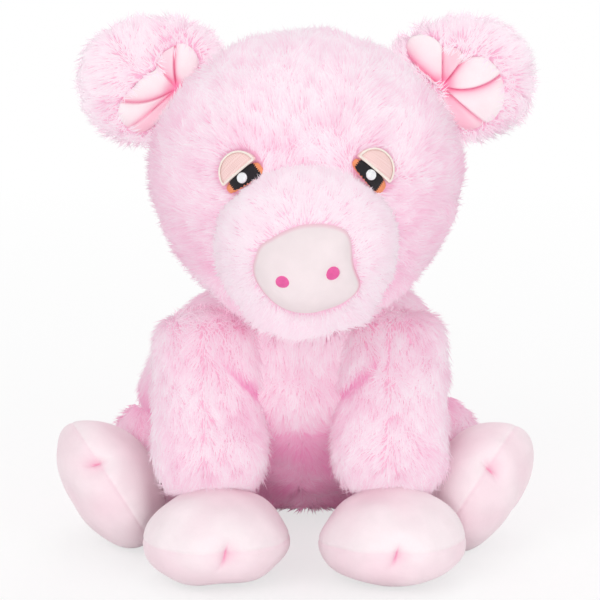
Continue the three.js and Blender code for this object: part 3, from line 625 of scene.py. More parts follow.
class Wire:
    """A socket in a tree of nodes. Arithmetic on it adds Math nodes."""

    def __init__(self, nodes, socket):
        self.nodes, self.socket = nodes, socket

    def math(self, operation, first, second):
        return self.nodes.node("ShaderNodeMath", {"operation": operation}, {0: first, 1: second})

    def __add__(self, other):
        return self.math("ADD", self, other)

    def __mul__(self, other):
        return self.math("MULTIPLY", self, other)

    def __pow__(self, other):
        return self.math("POWER", self, other)

    def __rpow__(self, other):
        return self.math("POWER", other, self)

    __radd__, __rmul__ = __add__, __mul__


class Nodes:
    """The tree of nodes of a material or of the world."""

    def __init__(self, owner):
        owner.use_nodes = True
        self.tree = owner.node_tree

    def node(self, kind, settings, inputs, output=0):
        """Any node: its settings first, then the values or links of its sockets."""
        made = self.tree.nodes.new(kind)
        for key, value in settings.items():
            setattr(made, key, value)
        for key, value in inputs.items():
            if isinstance(value, Wire):
                self.tree.links.new(value.socket, made.inputs[key])
            else:
                made.inputs[key].default_value = value
        return Wire(self, made.outputs[output])

    def between(self, value, low, high, out_low=0.0, out_high=1.0):
        """A value from low to high carried over to another range, and kept in it."""
        inputs = {"Value": value, "From Min": low, "From Max": high, "To Min": out_low, "To Max": out_high}
        return self.node("ShaderNodeMapRange", {"clamp": True}, inputs)


class Finish(Nodes):
    """A procedural material: a Principled shader whose constants stand on its own sockets."""

    def __init__(self, name, **constants):
        self.material = bpy.data.materials.new(name)
        super().__init__(self.material)
        self.shader = self.tree.nodes["Principled BSDF"]
        for key, value in constants.items():
            self.shader.inputs[key.replace("_", " ").title().replace("Ior", "IOR")].default_value = value
        self.place = self.node("ShaderNodeTexCoord", {}, {}, "Object")

    def noise(self, scale, detail=2, roughness=0.5, place=None):
        inputs = {"Vector": place or self.place, "Scale": scale, "Detail": detail, "Roughness": roughness}
        return self.node("ShaderNodeTexNoise", {}, inputs, "Fac")

    def mix(self, share, first, second):
        """A colour between two colours. The node's colours are its sockets 6 and 7, and come out at 2."""
        pick = [c if isinstance(c, Wire) else (*c, 1) for c in (first, second)]
        return self.node("ShaderNodeMix", {"data_type": "RGBA"}, {0: share, 6: pick[0], 7: pick[1]}, 2)

    def stretched(self, scales):
        """Object coordinates stretched along each axis."""
        settings = {"operation": "MULTIPLY"}
        return self.node("ShaderNodeVectorMath", settings, {0: self.place, 1: scales})

    def attribute(self, name):
        return self.node("ShaderNodeAttribute", {"attribute_name": name}, {}, "Fac")

    def feed(self, socket, value):
        self.tree.links.new(value.socket, self.shader.inputs[socket])
        return self

    def bump(self, height, strength, distance):
        inputs = {"Height": height, "Strength": strength, "Distance": distance}
        return self.feed("Normal", self.node("ShaderNodeBump", {}, inputs))


def scaled(colour, share):
    return tuple(min(x * share, 1.0) for x in colour)


def pile_material(name, root, tip):
    """Long pile: deep colour at the root, pale at the tip, each tuft a little lighter or darker, in broad
    clouds and narrow streaks. The deep root colour is partly painted shade within the pile, and the tuft
    value also carries painted shade where grow_pile puts it."""
    root, tip = tuple(root), tuple(tip)
    finish = Finish(name, roughness=0.85, sheen_weight=0.05, sheen_roughness=0.5, specular_ior_level=0.15)
    reach = finish.between(finish.attribute("reach"), 0.05, 0.9)
    tuft = finish.attribute("tuft")
    cloud = finish.between(finish.noise(55, 3), 0.35, 0.65)
    share = reach ** 0.35 * (0.12 + 0.88 * tuft) + cloud * 0.05
    colour = finish.mix(share, root, tip)
    return finish.feed("Base Color", colour).material


def backing_material(name, root):
    """The knitted cloth that the pile stands on, seen only between the tufts."""
    finish = Finish(name, roughness=0.95, sheen_weight=0.1, specular_ior_level=0.15)
    knit = finish.between(finish.noise(900, 2), 0.35, 0.65)
    colour = finish.mix(knit, scaled(root, 0.9), root)
    return finish.feed("Base Color", colour).bump(knit, 0.3, 0.0004).material


def velour_material(name, colour, deep, nap=1500):
    """Short velour: a fine nap, brushed patches, and a deeper colour where the fold value says, on most
    pieces painted shade in creases.
    """
    colour, deep = tuple(colour), tuple(deep)
    finish = Finish(name, roughness=0.9, sheen_weight=0.25, sheen_roughness=0.35, specular_ior_level=0.1)
    fine = finish.noise(nap, 3, 0.6)
    fibre = finish.noise(1, 2, 0.5, finish.stretched((2600, 700, 2600)))
    brushed = finish.between(finish.noise(70, 3), 0.38, 0.62)
    pale = finish.mix(brushed, scaled(colour, 0.955), colour)
    speck = finish.between(fine, 0.3, 0.7)
    pale = finish.mix(speck, finish.mix(0.05, pale, deep), pale)
    fold = finish.between(finish.attribute("fold"), 0, 1)
    # On most pieces the deep colour is painted shade in creases and seams
    whole = finish.mix(fold, deep, pale)
    height = fine * 0.6 + fibre * 0.4
    return finish.feed("Base Color", whole).bump(height, 0.35, 0.0004).material


def thread_material(name, colour, way, roughness=0.45):
    """Satin stitch: parallel glossy threads across the way that they are sewn, with uneven strands."""
    colour = tuple(colour)
    finish = Finish(name, roughness=roughness, sheen_weight=0.1, specular_ior_level=0.35)
    shift = finish.noise(900, 1)
    settings = {"operation": "DOT_PRODUCT"}
    across = finish.node("ShaderNodeVectorMath", settings, {0: finish.place, 1: way}, "Value")
    wave = finish.node("ShaderNodeMath", {"operation": "SINE"}, {0: across * 12500 + shift * 3})
    thread = finish.between(wave, -1, 1)
    uneven = finish.between(finish.noise(400, 2), 0.35, 0.65)
    # Painted shade between the threads: a little darker in the grooves and lighter on the threads, and uneven
    # strands vary it at random
    shade = finish.mix(thread * 0.6 + uneven * 0.4, scaled(colour, 0.88), scaled(colour, 1.08))
    return finish.feed("Base Color", shade).bump(thread, 0.6, 0.00025).material


# Pile

RING = np.radians([90, 210, 330])
SIDES_OF_TUFT = np.array(
    [[0, 1 + (k + 1) % 3, 1 + k] for k in range(3)] + [[1 + k, 1 + (k + 1) % 3, 4] for k in range(3)]
)


def tuft_uv():
    """Where a tuft's faces lie in its cell of the map: its lower faces, and above them its upper faces."""
    left, right = np.arange(3) / 3 + 0.03, np.arange(3) / 3 + 0.3
    low, half, high, middle = 0.06, 0.5, 0.94, (left + right) / 2
    faces = [[[middle[k], low], [right[k], half], [left[k], half]] for k in range(3)]
    faces += [[[left[k], half], [right[k], half], [middle[k], high]] for k in range(3)]
    return np.array(faces)


def tufts(name, root, bend, tip, normal, width, shade):
    """A piece of pile. Each tuft is a closed spindle from its root over three points at its bend to its
    tip. The shading of its open faces leans towards the cloth's normal: f + 1.6 (1 + f.n) n."""
    count = len(root)
    way = unit(tip - root)
    side = unit(np.cross(normal, way) + 1e-9)
    lift = np.cross(way, side)
    ring = bend[:, None] + width[:, None, None] / 2 * spokes(side, lift, RING)
    points = np.concatenate([root[:, None], ring, tip[:, None]], axis=1)
    points[..., 2] = np.maximum(points[..., 2], 0.0002)
    a, b, c = (points[:, SIDES_OF_TUFT[:, k]] for k in range(3))
    faces = unit(np.cross(b - a, c - a))
    open_to = 1 + np.einsum("ikj,ij->ik", faces, normal)[..., None]
    normals = unit(faces + 1.6 * open_to * normal[:, None])

    corners = (SIDES_OF_TUFT.ravel()[None] + 5 * np.arange(count)[:, None]).reshape(-1, 3)
    across = math.ceil(math.sqrt(count))
    cell = np.stack([np.arange(count) % across, np.arange(count) // across], axis=-1)
    uv = (cell[:, None, None] + tuft_uv()[None]) / across
    obj = mesh_object(name, points.reshape(-1, 3), [corners], [uv])
    mark(obj, "reach", np.tile([0, 0.5, 0.5, 0.5, 1], count))
    mark(obj, "tuft", np.repeat(shade, 5))
    sharp = obj.data.attributes.new("sharp_edge", "BOOLEAN", "EDGE")
    sharp.data.foreach_set("value", np.ones(len(obj.data.edges), bool))
    attribute = obj.data.attributes.new("custom_normal", "FLOAT_VECTOR", "CORNER")
    attribute.data.foreach_set("vector", np.repeat(normals, 3, axis=1).astype(np.float32).ravel())
    return obj


def scatter(form, grow, density, seed):
    """Points spread evenly by area over a form, as many to a square metre as density says."""
    steps = 220
    polar = np.linspace(-np.pi / 2, np.pi / 2, steps + 1)
    around = np.linspace(0, 2 * np.pi, steps + 1)
    net = form.point(on_ball(polar[:, None], around[None]), grow)
    area = np.linalg.norm(np.cross(net[1:, 1:] - net[:-1, :-1], net[1:, :-1] - net[:-1, 1:]), axis=-1) / 2
    count = int(area.sum() * density)
    random = np.random.default_rng(seed)
    even = (np.arange(count) + random.random(count)) / count
    pick = np.searchsorted(area.ravel().cumsum() / area.sum(), even)
    row, column = np.divmod(np.minimum(pick, steps * steps - 1), steps)
    a = polar[row] + random.random(count) * (polar[1] - polar[0])
    b = around[column] + random.random(count) * (around[1] - around[0])
    root = form.point(on_ball(a, b), grow)
    east = form.point(on_ball(a, b + 1e-4), grow) - root
    north = form.point(on_ball(a + 1e-4, b), grow) - root
    return root, unit(np.cross(east, north)), random


SWIRL = Ripple(3, 0.034)
TWIST = Ripple(4, 0.011)
CLUMP = Ripple(5, 0.0085, 16)
PATCH = Ripple(6, 0.022)

# How unevenly tufts lie, in radians, and how unevenly long and wide they are, as a share
SPREAD = 0.15
# How deep a tuft's root is in the cloth, and how far its clump draws its bend and its tip aside
ROOT_SINK, GATHER_BEND, GATHER_TIP = 0.0006, 0.0006, 0.0016


def shade_near_others(points, others):
    """The painted shade next to other parts: 1 where a point touches another (form, weight), times its
    weight, and less with the distance, and a quarter as strong above 105 mm.
    """
    near = np.zeros(len(points))
    for form, weight in others:
        near = np.maximum(near, weight * form.near(points, 9 * MM))
    return near * (1 - 0.75 * blend_in(points[:, 2], 60 * MM, 105 * MM))


def flat_on(normal, ways):
    """The part of each way that lies flat on the cloth."""
    return ways - np.einsum("ij,ij->i", ways, normal)[:, None] * normal


def grow_pile(
    sizes, form, comb, keep, solids, seed,
    length=1.0, lay=1.0, density=1.0, mess=0.5, others=(), deepen=None, stretch=None,
):
    """Tufts on a form's cloth. comb gives the way they lie, which noise swirls and gathers into clumps.
    keep says which roots stay, and solids are what the tufts lie on instead of entering. Each tuft's colour
    value varies at random, painted shade deepens it near the others, and deepen makes it deeper or paler.
    Pile is longer or shorter where stretch says so. Pile that hangs from an underside turns its open side
    outwards."""
    root, normal, random = scatter(form, -sizes.skin_depth, sizes.pile_density * 1e4 * density, seed)
    kept = keep(root)
    root, normal = root[kept], normal[kept]
    way = unit(comb(root, normal)) + mess * SWIRL.slope(root) + 0.5 * mess * TWIST.slope(root)
    way = way + random.normal(size=way.shape) * 0.2
    way = unit(flat_on(normal, way))
    patch, clump = PATCH.value(root), CLUMP.value(root)
    angle = sizes.pile_lay * lay + 0.12 * patch + 0.06 * clump + random.normal(size=len(root)) * SPREAD
    angle = np.clip(angle, 0.1, 1.35)[:, None]
    reach = (sizes.pile_length * length * np.clip(random.normal(1, SPREAD, len(root)), 0.6, 1.3))[:, None]
    if stretch:
        reach = reach * stretch(root)[:, None]
    gather = flat_on(normal, CLUMP.slope(root))
    root = root - ROOT_SINK * normal
    bent = np.cos(0.45 * angle) * normal + np.sin(0.45 * angle) * way
    bend = root + 0.5 * reach * bent + GATHER_BEND * gather
    tip = root + reach * (np.cos(angle) * normal + np.sin(angle) * way) + GATHER_TIP * gather
    for solid, gap in solids:
        bend, tip = solid.laid_on(bend, gap), solid.laid_on(tip, gap)
    shade = 0.84 + 0.04 * clump + 0.065 * patch + random.normal(size=len(root)) * 0.065
    # Painted shade next to the other forms
    shade = shade - 0.8 * shade_near_others(root, others)
    if deepen:
        shade = shade - deepen(root)
    girth = sizes.pile_width * np.clip(random.normal(1, SPREAD, len(root)), 0.6, 1.4)
    under = np.maximum(-normal[:, 2:] - 0.2, 0)
    lit = unit(normal + under * (1.3 * form.away(root) + Z_AXIS))
    return root, bend, tip, lit, girth, np.clip(shade, 0, 1)


def outside(*limits):
    """Keeps the points that are outside every (form, gap)."""

    def keep(points):
        kept = np.ones(len(points), bool)
        for form, gap in limits:
            kept &= form.level(points, gap) > 1
        return kept

    return keep


SECTORS = ("front", "left_front", "left_back", "back", "right_back", "right_front")


def sectors(name, arrays, centre):
    """Splits pile into equal sectors, by the bearing of its roots."""
    bearing = np.arctan2(arrays[0][:, 0] - centre[0], -(arrays[0][:, 1] - centre[1]))
    turn = np.round(bearing / (2 * np.pi) * len(SECTORS)).astype(int) % len(SECTORS)
    for number, word in enumerate(SECTORS):
        yield f"{name}_{word}", tuple(a[turn == number] for a in arrays)


# Operators. Waves such as sin(9000 x) have their rates in radians to the metre


class PigOperator(bpy.types.Operator):
    """Shared by the operators of the pig's pieces."""

    bl_options = {"REGISTER", "UNDO"}

    def execute(self, context):
        self.sizes, self.colours = context.scene.pig_sizes, context.scene.pig_colours
        self.forms = forms(self.sizes)
        self.build()
        return {"FINISHED"}

    def cloth(self, name, maker, *args):
        """A material by name, made once."""
        name = "plush_" + name
        return bpy.data.materials.get(name) or maker(name, *args)

    def pile(self):
        return self.cloth("pink_long_pile", pile_material, self.colours.pile_root_and_shade, self.colours.pile_tip)

    def backing(self):
        return self.cloth("pink_backing_knit", backing_material, self.colours.backing)


def face_shares(rings):
    """The shares of its outline at which a pad's face has its rings, from near the middle to the edge."""
    return np.sin(np.linspace(0.02, np.pi / 2, rings))


def pad_rows(host, place, ways, outline, foot, crown, rings, columns):
    """A pad on a host form: rings from the middle of its face, out to its edge and back behind. A ring at
    share s of the outline stands foot + crown(s, x, y) over the host, and foot on the back."""
    edge = np.stack(outline(circle(columns)), axis=-1)
    back = np.sin(np.linspace(np.pi / 2, 0.02, 8))[1:]
    share = np.concatenate([face_shares(rings), back])[:, None]
    flat = share[..., None] * edge[None]
    height = crown(share, flat[..., 0], flat[..., 1])
    height = np.where(np.arange(len(share))[:, None] < rings, height, 0)
    points = place + flat[..., :1] * ways[:, 0] + flat[..., 1:] * ways[:, 1]
    return host.surface_along(points, ways[:, 2], foot + height)


def dome(share, power):
    """A padded face's height: full in the middle and rounded over at its edge, (1 - s^p)^(1/2)."""
    return np.sqrt(np.maximum(1 - share**power, 0))


class PIG_OT_torso(PigOperator):
    """The torso bag: a chest panel over a V seam, and long pile combed downwards"""

    bl_idname = "pig.torso"
    bl_label = "Torso"

    def build(self):
        torso, head, sizes = self.forms["torso"], self.forms["head"], self.sizes
        rows = torso.rows(-sizes.skin_depth, rings=88, columns=116)
        for nod in (-10, 0, 10):  # The bag stays clear of the head wherever the neck turns and nods it
            for twist in (-15, 0, 15):
                matrix = turn_about(2, math.radians(twist)) @ turn_about(0, math.radians(nod))
                rows = head.turned(NECK, matrix).out_along(rows, DOWN, 1.5 * MM)
        rows[..., 2] = np.maximum(rows[..., 2], 1 * MM)
        bag = shell("torso_bag", rows)
        nodes = ("torso_skin", "torso_filling", "seat_pellet_bag")
        finish_piece(bag, self.backing(), "torso", nodes)

        def comb(root, normal):
            x = root[:, :1] - torso.place[0]
            side = 0.8 * x / 0.03 * np.exp(-np.abs(x) / 0.03) * X_AXIS
            under = blend_in(-normal[:, 2:], 0.5, 0.9) * torso.away(root)
            return DOWN + side + 2 * under

        legs = [(form, -3 * MM) for name, form in self.forms.items() if name.endswith("sleeve")]
        hooves = [(form, 0) for name, form in self.forms.items() if name.endswith("hoof")]
        clear = outside((head, -3 * MM), *legs, *hooves)

        def keep(root):
            return clear(root) & (root[:, 2] > 4 * MM)

        def deepen(root):
            """Painted shade: deeper pile in the chest's V seam and under it, more so down to the belly. Above
            the seam the pile is a little paler.
            """
            over, ahead = above_seam(torso.ball_of(root))
            line = bell(over + 0.02, 0.03)
            below, above = blend_in(-over, -0.02, 0.12), blend_in(over, 0.02, 0.1)
            return ahead * (0.35 * line + 0.6 * below - 0.09 * above)

        # Painted shade on the torso's pile next to the legs and the hooves
        others = [(form, 0.75) for form, _ in legs] + [(form, 0.5) for form, _ in hooves]
        root, bend, tip, lit, girth, shade = grow_pile(
            sizes, torso, comb, keep, [(head, -2 * MM), *hooves], seed=11,
            lay=1.05, others=others, deepen=deepen,
        )
        # Close under the head the pile hangs down, and it turns its open side outwards
        close = head.near(root, 12 * MM, head.half[2])[:, None]
        lit = unit(lit + 1.5 * close * (torso.away(root) - 0.2 * Z_AXIS))
        bend, tip = bend + 2.2 * MM * close * DOWN, tip + 7 * MM * close * DOWN
        arrays = root, bend, tip, lit, girth, shade
        for name, part in sectors("torso_pile", arrays, torso.place):
            finish_pile(tufts(name, *part), self.pile(), "torso")

        edge = lambda angle: (17 * MM * np.cos(angle), 17 * MM * np.sin(angle))
        ways = ways_at(DOWN, X_AXIS)
        place = head.place - Z_AXIS * head.half[2] + Y_AXIS * 6 * MM
        crown = lambda s, x, y: 6 * MM * dome(s, 4)
        rows = pad_rows(head, place, ways, edge, -5 * MM, crown, rings=26, columns=112)
        wad = self.cloth("neck_wad", velour_material, self.colours.wad, self.colours.wad)
        finish_piece(shell("neck_wad", rows), wad, "neck", ("neck_filling",))


class PIG_OT_head(PigOperator):
    """The head bag, with long pile combed away from the nose and parted around the eyes"""

    bl_idname = "pig.head"
    bl_label = "Head"

    def build(self):
        head, torso, muzzle = (self.forms[name] for name in ("head", "torso", "muzzle"))
        sizes = self.sizes
        bag = shell("head_bag", head.rows(-sizes.skin_depth, rings=80, columns=104))
        finish_piece(bag, self.backing(), "head", ("head_skin", "head_filling"))
        eyes = [eye_place(head, sign) for _, sign in SIDES]
        nose = muzzle.place + FRONT * muzzle.half[1] * 0.6

        def comb(root, normal):
            way = unit(root - nose) + 0.9 * blend_in(root[:, 1:2], HEAD[1], HEAD[1] + 0.06) * DOWN
            for point, _ in eyes:
                apart = root - point
                near = bell(np.linalg.norm(apart, axis=1, keepdims=True), 0.017)
                way = way + 2.2 * near * unit(apart)
            return way

        def keep(root):
            kept = outside((torso, -4 * MM), (muzzle, -4.5 * MM))(root)
            for word, _ in SIDES:
                kept &= self.forms[f"ear_{word}"].level(root, -7 * MM) > 1
            for point, ways in eyes:
                x, y, z = ((root - point) @ ways).T
                kept &= (np.hypot(x, y) > sizes.eye_radius + 0.2 * MM) | (np.abs(z) > 0.02)
            return kept

        def deepen(root):
            """Painted shade: deeper pile low on the head, on its sides and around and under the muzzle's foot,
            and paler high up. Deeper pile above each eye's outer corner too.
            """
            foot = muzzle.near(root, 9 * MM, muzzle.half[0])
            low = 1 - blend_in(root[:, 2], muzzle.place[2] - 30 * MM, muzzle.place[2] + 10 * MM)
            # Painted shade: deeper low on the head and on its sides, paler high up
            pale = 0.08 - 0.16 * blend_in(root[:, 2], head.place[2] - 30 * MM, head.place[2] + 50 * MM)
            pale = pale + 0.16 * blend_in(np.abs(root[:, 0] - head.place[0]), 36 * MM, 74 * MM)
            deep = pale + 0.4 * foot * low
            for (point, _), (_, sign) in zip(eyes, SIDES):
                apart = root - point - np.array([sign * 8, 0, 13]) * MM
                deep = deep + 0.4 * bell(np.linalg.norm(apart, axis=1), 10 * MM)
            return deep

        arrays = grow_pile(sizes, head, comb, keep, [(torso, -4 * MM)], seed=12, lay=0.9, deepen=deepen)
        for name, part in sectors("head_pile", arrays, head.place):
            finish_pile(tufts(name, *part), self.pile(), "head")


class PIG_OT_muzzle(PigOperator):
    """The muzzle cover, with a shorter and paler pile combed away from the nose pad"""

    bl_idname = "pig.muzzle"
    bl_label = "Muzzle"

    def build(self):
        head, muzzle = self.forms["head"], self.forms["muzzle"]
        sizes, colours = self.sizes, self.colours
        material = self.cloth("muzzle_backing_knit", backing_material, colours.muzzle_root_and_shade)
        bag = shell("muzzle_bag", muzzle.rows(-sizes.skin_depth * 0.75, rings=72, columns=96))
        finish_piece(bag, material, "head", ("muzzle_cover",))
        place, ways = nose_place(muzzle)
        pad = nose_outline(sizes.nose)

        def beside(root):
            """How far outside the nose pad's outline a point is, as a share of the outline."""
            x, y, _ = ((root - place) @ ways).T
            angle = np.arctan2(y, x)
            edge_x, edge_y = pad(angle)
            return np.hypot(x, y) / np.hypot(edge_x, edge_y)

        def comb(root, normal):
            return unit(root - place) + 0.2 * DOWN

        def keep(root):
            ahead = ((root - place) @ ways)[:, 2] > -20 * MM
            return outside((head, -6 * MM))(root) & ~(ahead & (beside(root) < 0.93))

        eyes = [eye_place(head, sign)[0] for _, sign in SIDES]

        def stretch(root):
            """A longer fringe under the muzzle, and shorter pile before the eyes."""
            near = sum(np.exp(-((np.linalg.norm(root - eye, axis=1) / (13 * MM)) ** 4)) for eye in eyes)
            return 1 + 0.8 * blend_in(muzzle.place[2] - root[:, 2], 16 * MM, 34 * MM) - 0.55 * near

        arrays = grow_pile(
            sizes, muzzle, comb, keep, [(head, -7 * MM)], seed=13,
            length=0.8, density=1.2, mess=0.35, stretch=stretch,
        )
        material = self.cloth("muzzle_pile", pile_material, colours.muzzle_root_and_shade, colours.muzzle_tip)
        finish_pile(tufts("muzzle_pile", *arrays), material, "head")


def nose_place(muzzle):
    """The middle of the nose pad, and the turn whose X runs across it and Z looks ahead."""
    across = np.array([math.cos(NOSE_TWIST), 0, math.sin(NOSE_TWIST)])
    return muzzle.place + FRONT * muzzle.half[1] - Z_AXIS * 5 * MM, ways_at(FRONT, across)


def nose_outline(size):
    """The pad's outline, stretched with the pad's width and height."""
    rim = smooth_ring(NOSE_OUTLINE)
    wide, high = size[0] / (50 * MM), size[1] / (41 * MM)
    return lambda t: (wide * rim(t) * np.cos(t), high * rim(t) * np.sin(t))


class PIG_OT_nose(PigOperator):
    """The velour nose pad with its rolled edge and lower seams, and the two stitched nostrils"""

    bl_idname = "pig.nose"
    bl_label = "Nose"

    def build(self):
        muzzle, sizes, colours = self.forms["muzzle"], self.sizes, self.colours
        place, ways = nose_place(muzzle)
        thick = sizes.nose[2]
        lumps = Ripple(21, 0.014)

        def crown(share, x, y):
            full = thick * dome(share, 5)
            dimple = sum(bell(x - sign * NOSTRIL_ASIDE, 0.005, y + NOSTRIL_DROP, 0.005) for _, sign in SIDES)
            swell = 0.25 * MM * lumps.value(np.stack([x, y, 0 * x], axis=-1)) * (1 - share**4)
            return np.maximum(full - 1.1 * MM * dimple + swell, 0)

        def fold(share, angle):
            """Painted shade in the seam that runs along the pad's edge: deep below and fainter above."""
            low = 0.45 + 0.45 * blend_in(-np.sin(angle), -0.3, 0.3)
            return 1 - low * blend_in(share, 0.93, 0.995)

        rings, columns = 60, 168
        outline = nose_outline(sizes.nose)
        rows = pad_rows(muzzle, place, ways, outline, -thick + 1.8 * MM, crown, rings, columns)
        share = np.concatenate([face_shares(rings), np.ones(len(rows) - rings)])[:, None]
        pad = shell("nose_pad_velour", rows, fold(share, circle(columns)))
        velour = self.cloth("nose_velour", velour_material, colours.nose, colours.nose_seam_shade, 1900)
        finish_piece(pad, velour, "head", ("nose_pad",))

        thread = self.cloth("nostril_thread", thread_material, colours.nostril, tuple(ways[:, 0]))
        for word, sign in SIDES:
            centre = place + sign * NOSTRIL_ASIDE * ways[:, 0] - NOSTRIL_DROP * ways[:, 1]
            longest = math.radians(-90 - 50 * sign)
            reach = lambda t: 3.1 * MM * (1 + 0.2 * np.maximum(np.cos(t - longest), 0) ** 3)
            oval = lambda t: (reach(t) * np.cos(t), reach(t) * np.sin(t))
            stitch = lambda s, x, y: 1.5 * MM * dome(s, 2.5) * (1 + 0.07 * np.sin(x * 14000))
            rows = pad_rows(muzzle, centre, ways, oval, 0.4 * MM, stitch, rings=18, columns=64)
            piece = shell(f"nostril_stitches_{word}", rows)
            finish_piece(piece, thread, "head", (f"nostril_{word}",))


class PIG_OT_eyes(PigOperator):
    """The embroidered eyes: an iris band with a pupil and a glint, under a padded lid in a stitched rim"""

    bl_idname = "pig.eyes"
    bl_label = "Eyes"

    def build(self):
        for word, sign in SIDES:
            self.eye(word, sign)

    def eye(self, word, sign):
        head, sizes, colours = self.forms["head"], self.sizes, self.colours
        place, ways = eye_place(head, sign)
        radius, band = sizes.eye_radius, EYE_BAND
        edge, across = tuple(ways[:, 0]), tuple(ways[:, 1])

        def band_outline(half, ragged, power):
            """A rounded strip from the lid's edge down to the band's foot, with ragged stitch ends. It is
            higher towards +X."""

            def outline(t):
                c, s = np.cos(t), np.sin(t)
                far = (np.abs(c) ** power + np.abs(s) ** power) ** (-1 / power)
                x, y = c * far * half, -band / 2 + s * far * band / 2
                y = y * (1 + 0.2 * x / half)
                jag = ragged * np.sin(x * 7300 + 1) * np.sin(x * 4100)
                return x + ragged * np.sin(y * 6100) * np.abs(c), y + jag * np.maximum(-s, 0)

            return outline

        def lid_outline(t):
            """A half disc, seen from the middle of its height: rays out to the arc or to the flat edge."""
            c, s, rise, inner = np.cos(t), np.sin(t), LID_RISE, radius + 0.3 * MM
            arc = -s * rise + np.sqrt(np.maximum(inner**2 - (c * rise) ** 2, 0))
            chord = np.where(s < -1e-6, rise / np.maximum(-s, 1e-6), 1)
            far = (np.minimum(arc, 1) ** -14 + np.minimum(chord, 1) ** -14) ** (-1 / 14)
            return far * c, far * s + rise

        def placed(name, outline, centre, low, crown, cloth, grid=(20, 120), fold=None):
            """One piece of the eye: a pad with its rings around a centre, and low over the eye's foot."""
            middle = place + centre[0] * ways[:, 0] + centre[1] * ways[:, 1]
            shift = lambda t: tuple(c - o for c, o in zip(outline(t), centre))
            rows = pad_rows(head, middle, ways, shift, low - EYE_SINK, crown, *grid)
            if fold:
                flat = (rows - middle) @ ways
                fold = fold(flat[..., 0], flat[..., 1])
            piece = shell(f"{name}_stitches_{word}", rows, fold)
            finish_piece(piece, cloth, "head", (f"{name}_{word}",))

        stitch = lambda height: lambda s, x, y: height * dome(s, 6) * (1 + 0.1 * np.sin(x * 9000))
        iris = self.cloth(f"iris_thread_{word}", thread_material, colours.iris, edge)
        pupil = self.cloth(f"pupil_thread_{word}", thread_material, colours.pupil, edge, 0.6)
        glint = self.cloth(f"glint_thread_{word}", thread_material, colours.glint, edge, 0.4)
        rim = self.cloth(f"rim_thread_{word}", thread_material, colours.rim, across)
        lid = self.cloth("lid_velour", velour_material, colours.lid, colours.lid_fold, 1300)
        middle, inward, spot = (0, -band / 2), (-sign * 0.6 * MM, -band / 2), (0, -3 * MM)
        whole, strip = band_outline(radius + 0.2 * MM, 0.12 * MM, 3.6), band_outline(7.6 * MM, 0.4 * MM, 7)
        aside = lambda t: (strip(t)[0] + inward[0], strip(t)[1])
        oval = lambda t: (2.6 * MM * np.cos(t), spot[1] + 2.5 * MM * np.sin(t))
        placed("iris", whole, middle, 0.3 * MM, stitch(1.2 * MM), iris)
        placed("pupil", aside, inward, 1.2 * MM, stitch(1.0 * MM), pupil)
        placed("glint", oval, spot, 1.9 * MM, stitch(1.1 * MM), glint)
        quilt = lambda x, y: np.sin((x + y) * 3000 + 2 * np.sin(y * 1500)) * np.sin((x - y) * 3400)
        puff = lambda s, x, y: 2.9 * MM * dome(s, 4) + 0.12 * MM * quilt(x, y) * (1 - s**2)
        quilted = lambda x, y: 0.8 + 0.35 * quilt(x, y)
        placed(
            "eyelid", lid_outline, (0, LID_RISE), 0.3 * MM, puff, lid,
            grid=(40, 144), fold=quilted,
        )
        self.rim(word, place, ways, rim)

    def rim(self, word, place, ways, material):
        """The rim: a stitched cord along the lid's arc and back along its edge, an oval in section."""
        head, radius = self.forms["head"], self.sizes.eye_radius - LID_STITCH
        steps = 220
        arc_share, edge_share = 0.61, 0.39
        t = np.arange(steps) / steps
        on_arc = t < arc_share
        arc, back = np.pi * t / arc_share, (t - arc_share) / edge_share
        x = np.where(on_arc, radius * np.cos(arc), radius * (2 * back - 1))
        y = np.where(on_arc, radius * np.sin(arc), 0) + LID_STITCH
        line = np.stack([x, y], axis=-1)
        ahead = unit(np.roll(line, -1, 0) - np.roll(line, 1, 0))
        beside = np.stack([ahead[:, 1], -ahead[:, 0]], axis=-1)
        ring = circle(14)
        half = np.where(on_arc, 0.5, 0.62)[:, None] * MM * (1 + 0.05 * np.sin(t * 2 * np.pi * 90))[:, None]
        flat = line[:, None] + half[..., None] * np.cos(ring)[:, None] * beside[:, None]
        lift = 2.5 * MM - EYE_SINK + 0.95 * half * np.sin(ring)
        points = place + flat[..., :1] * ways[:, 0] + flat[..., 1:] * ways[:, 1]
        rows = head.surface_along(points, ways[:, 2], lift)
        obj = loop_tube(f"eyelid_rim_cord_{word}", rows)
        finish_piece(obj, material, "head", (f"eyelid_rim_{word}",))


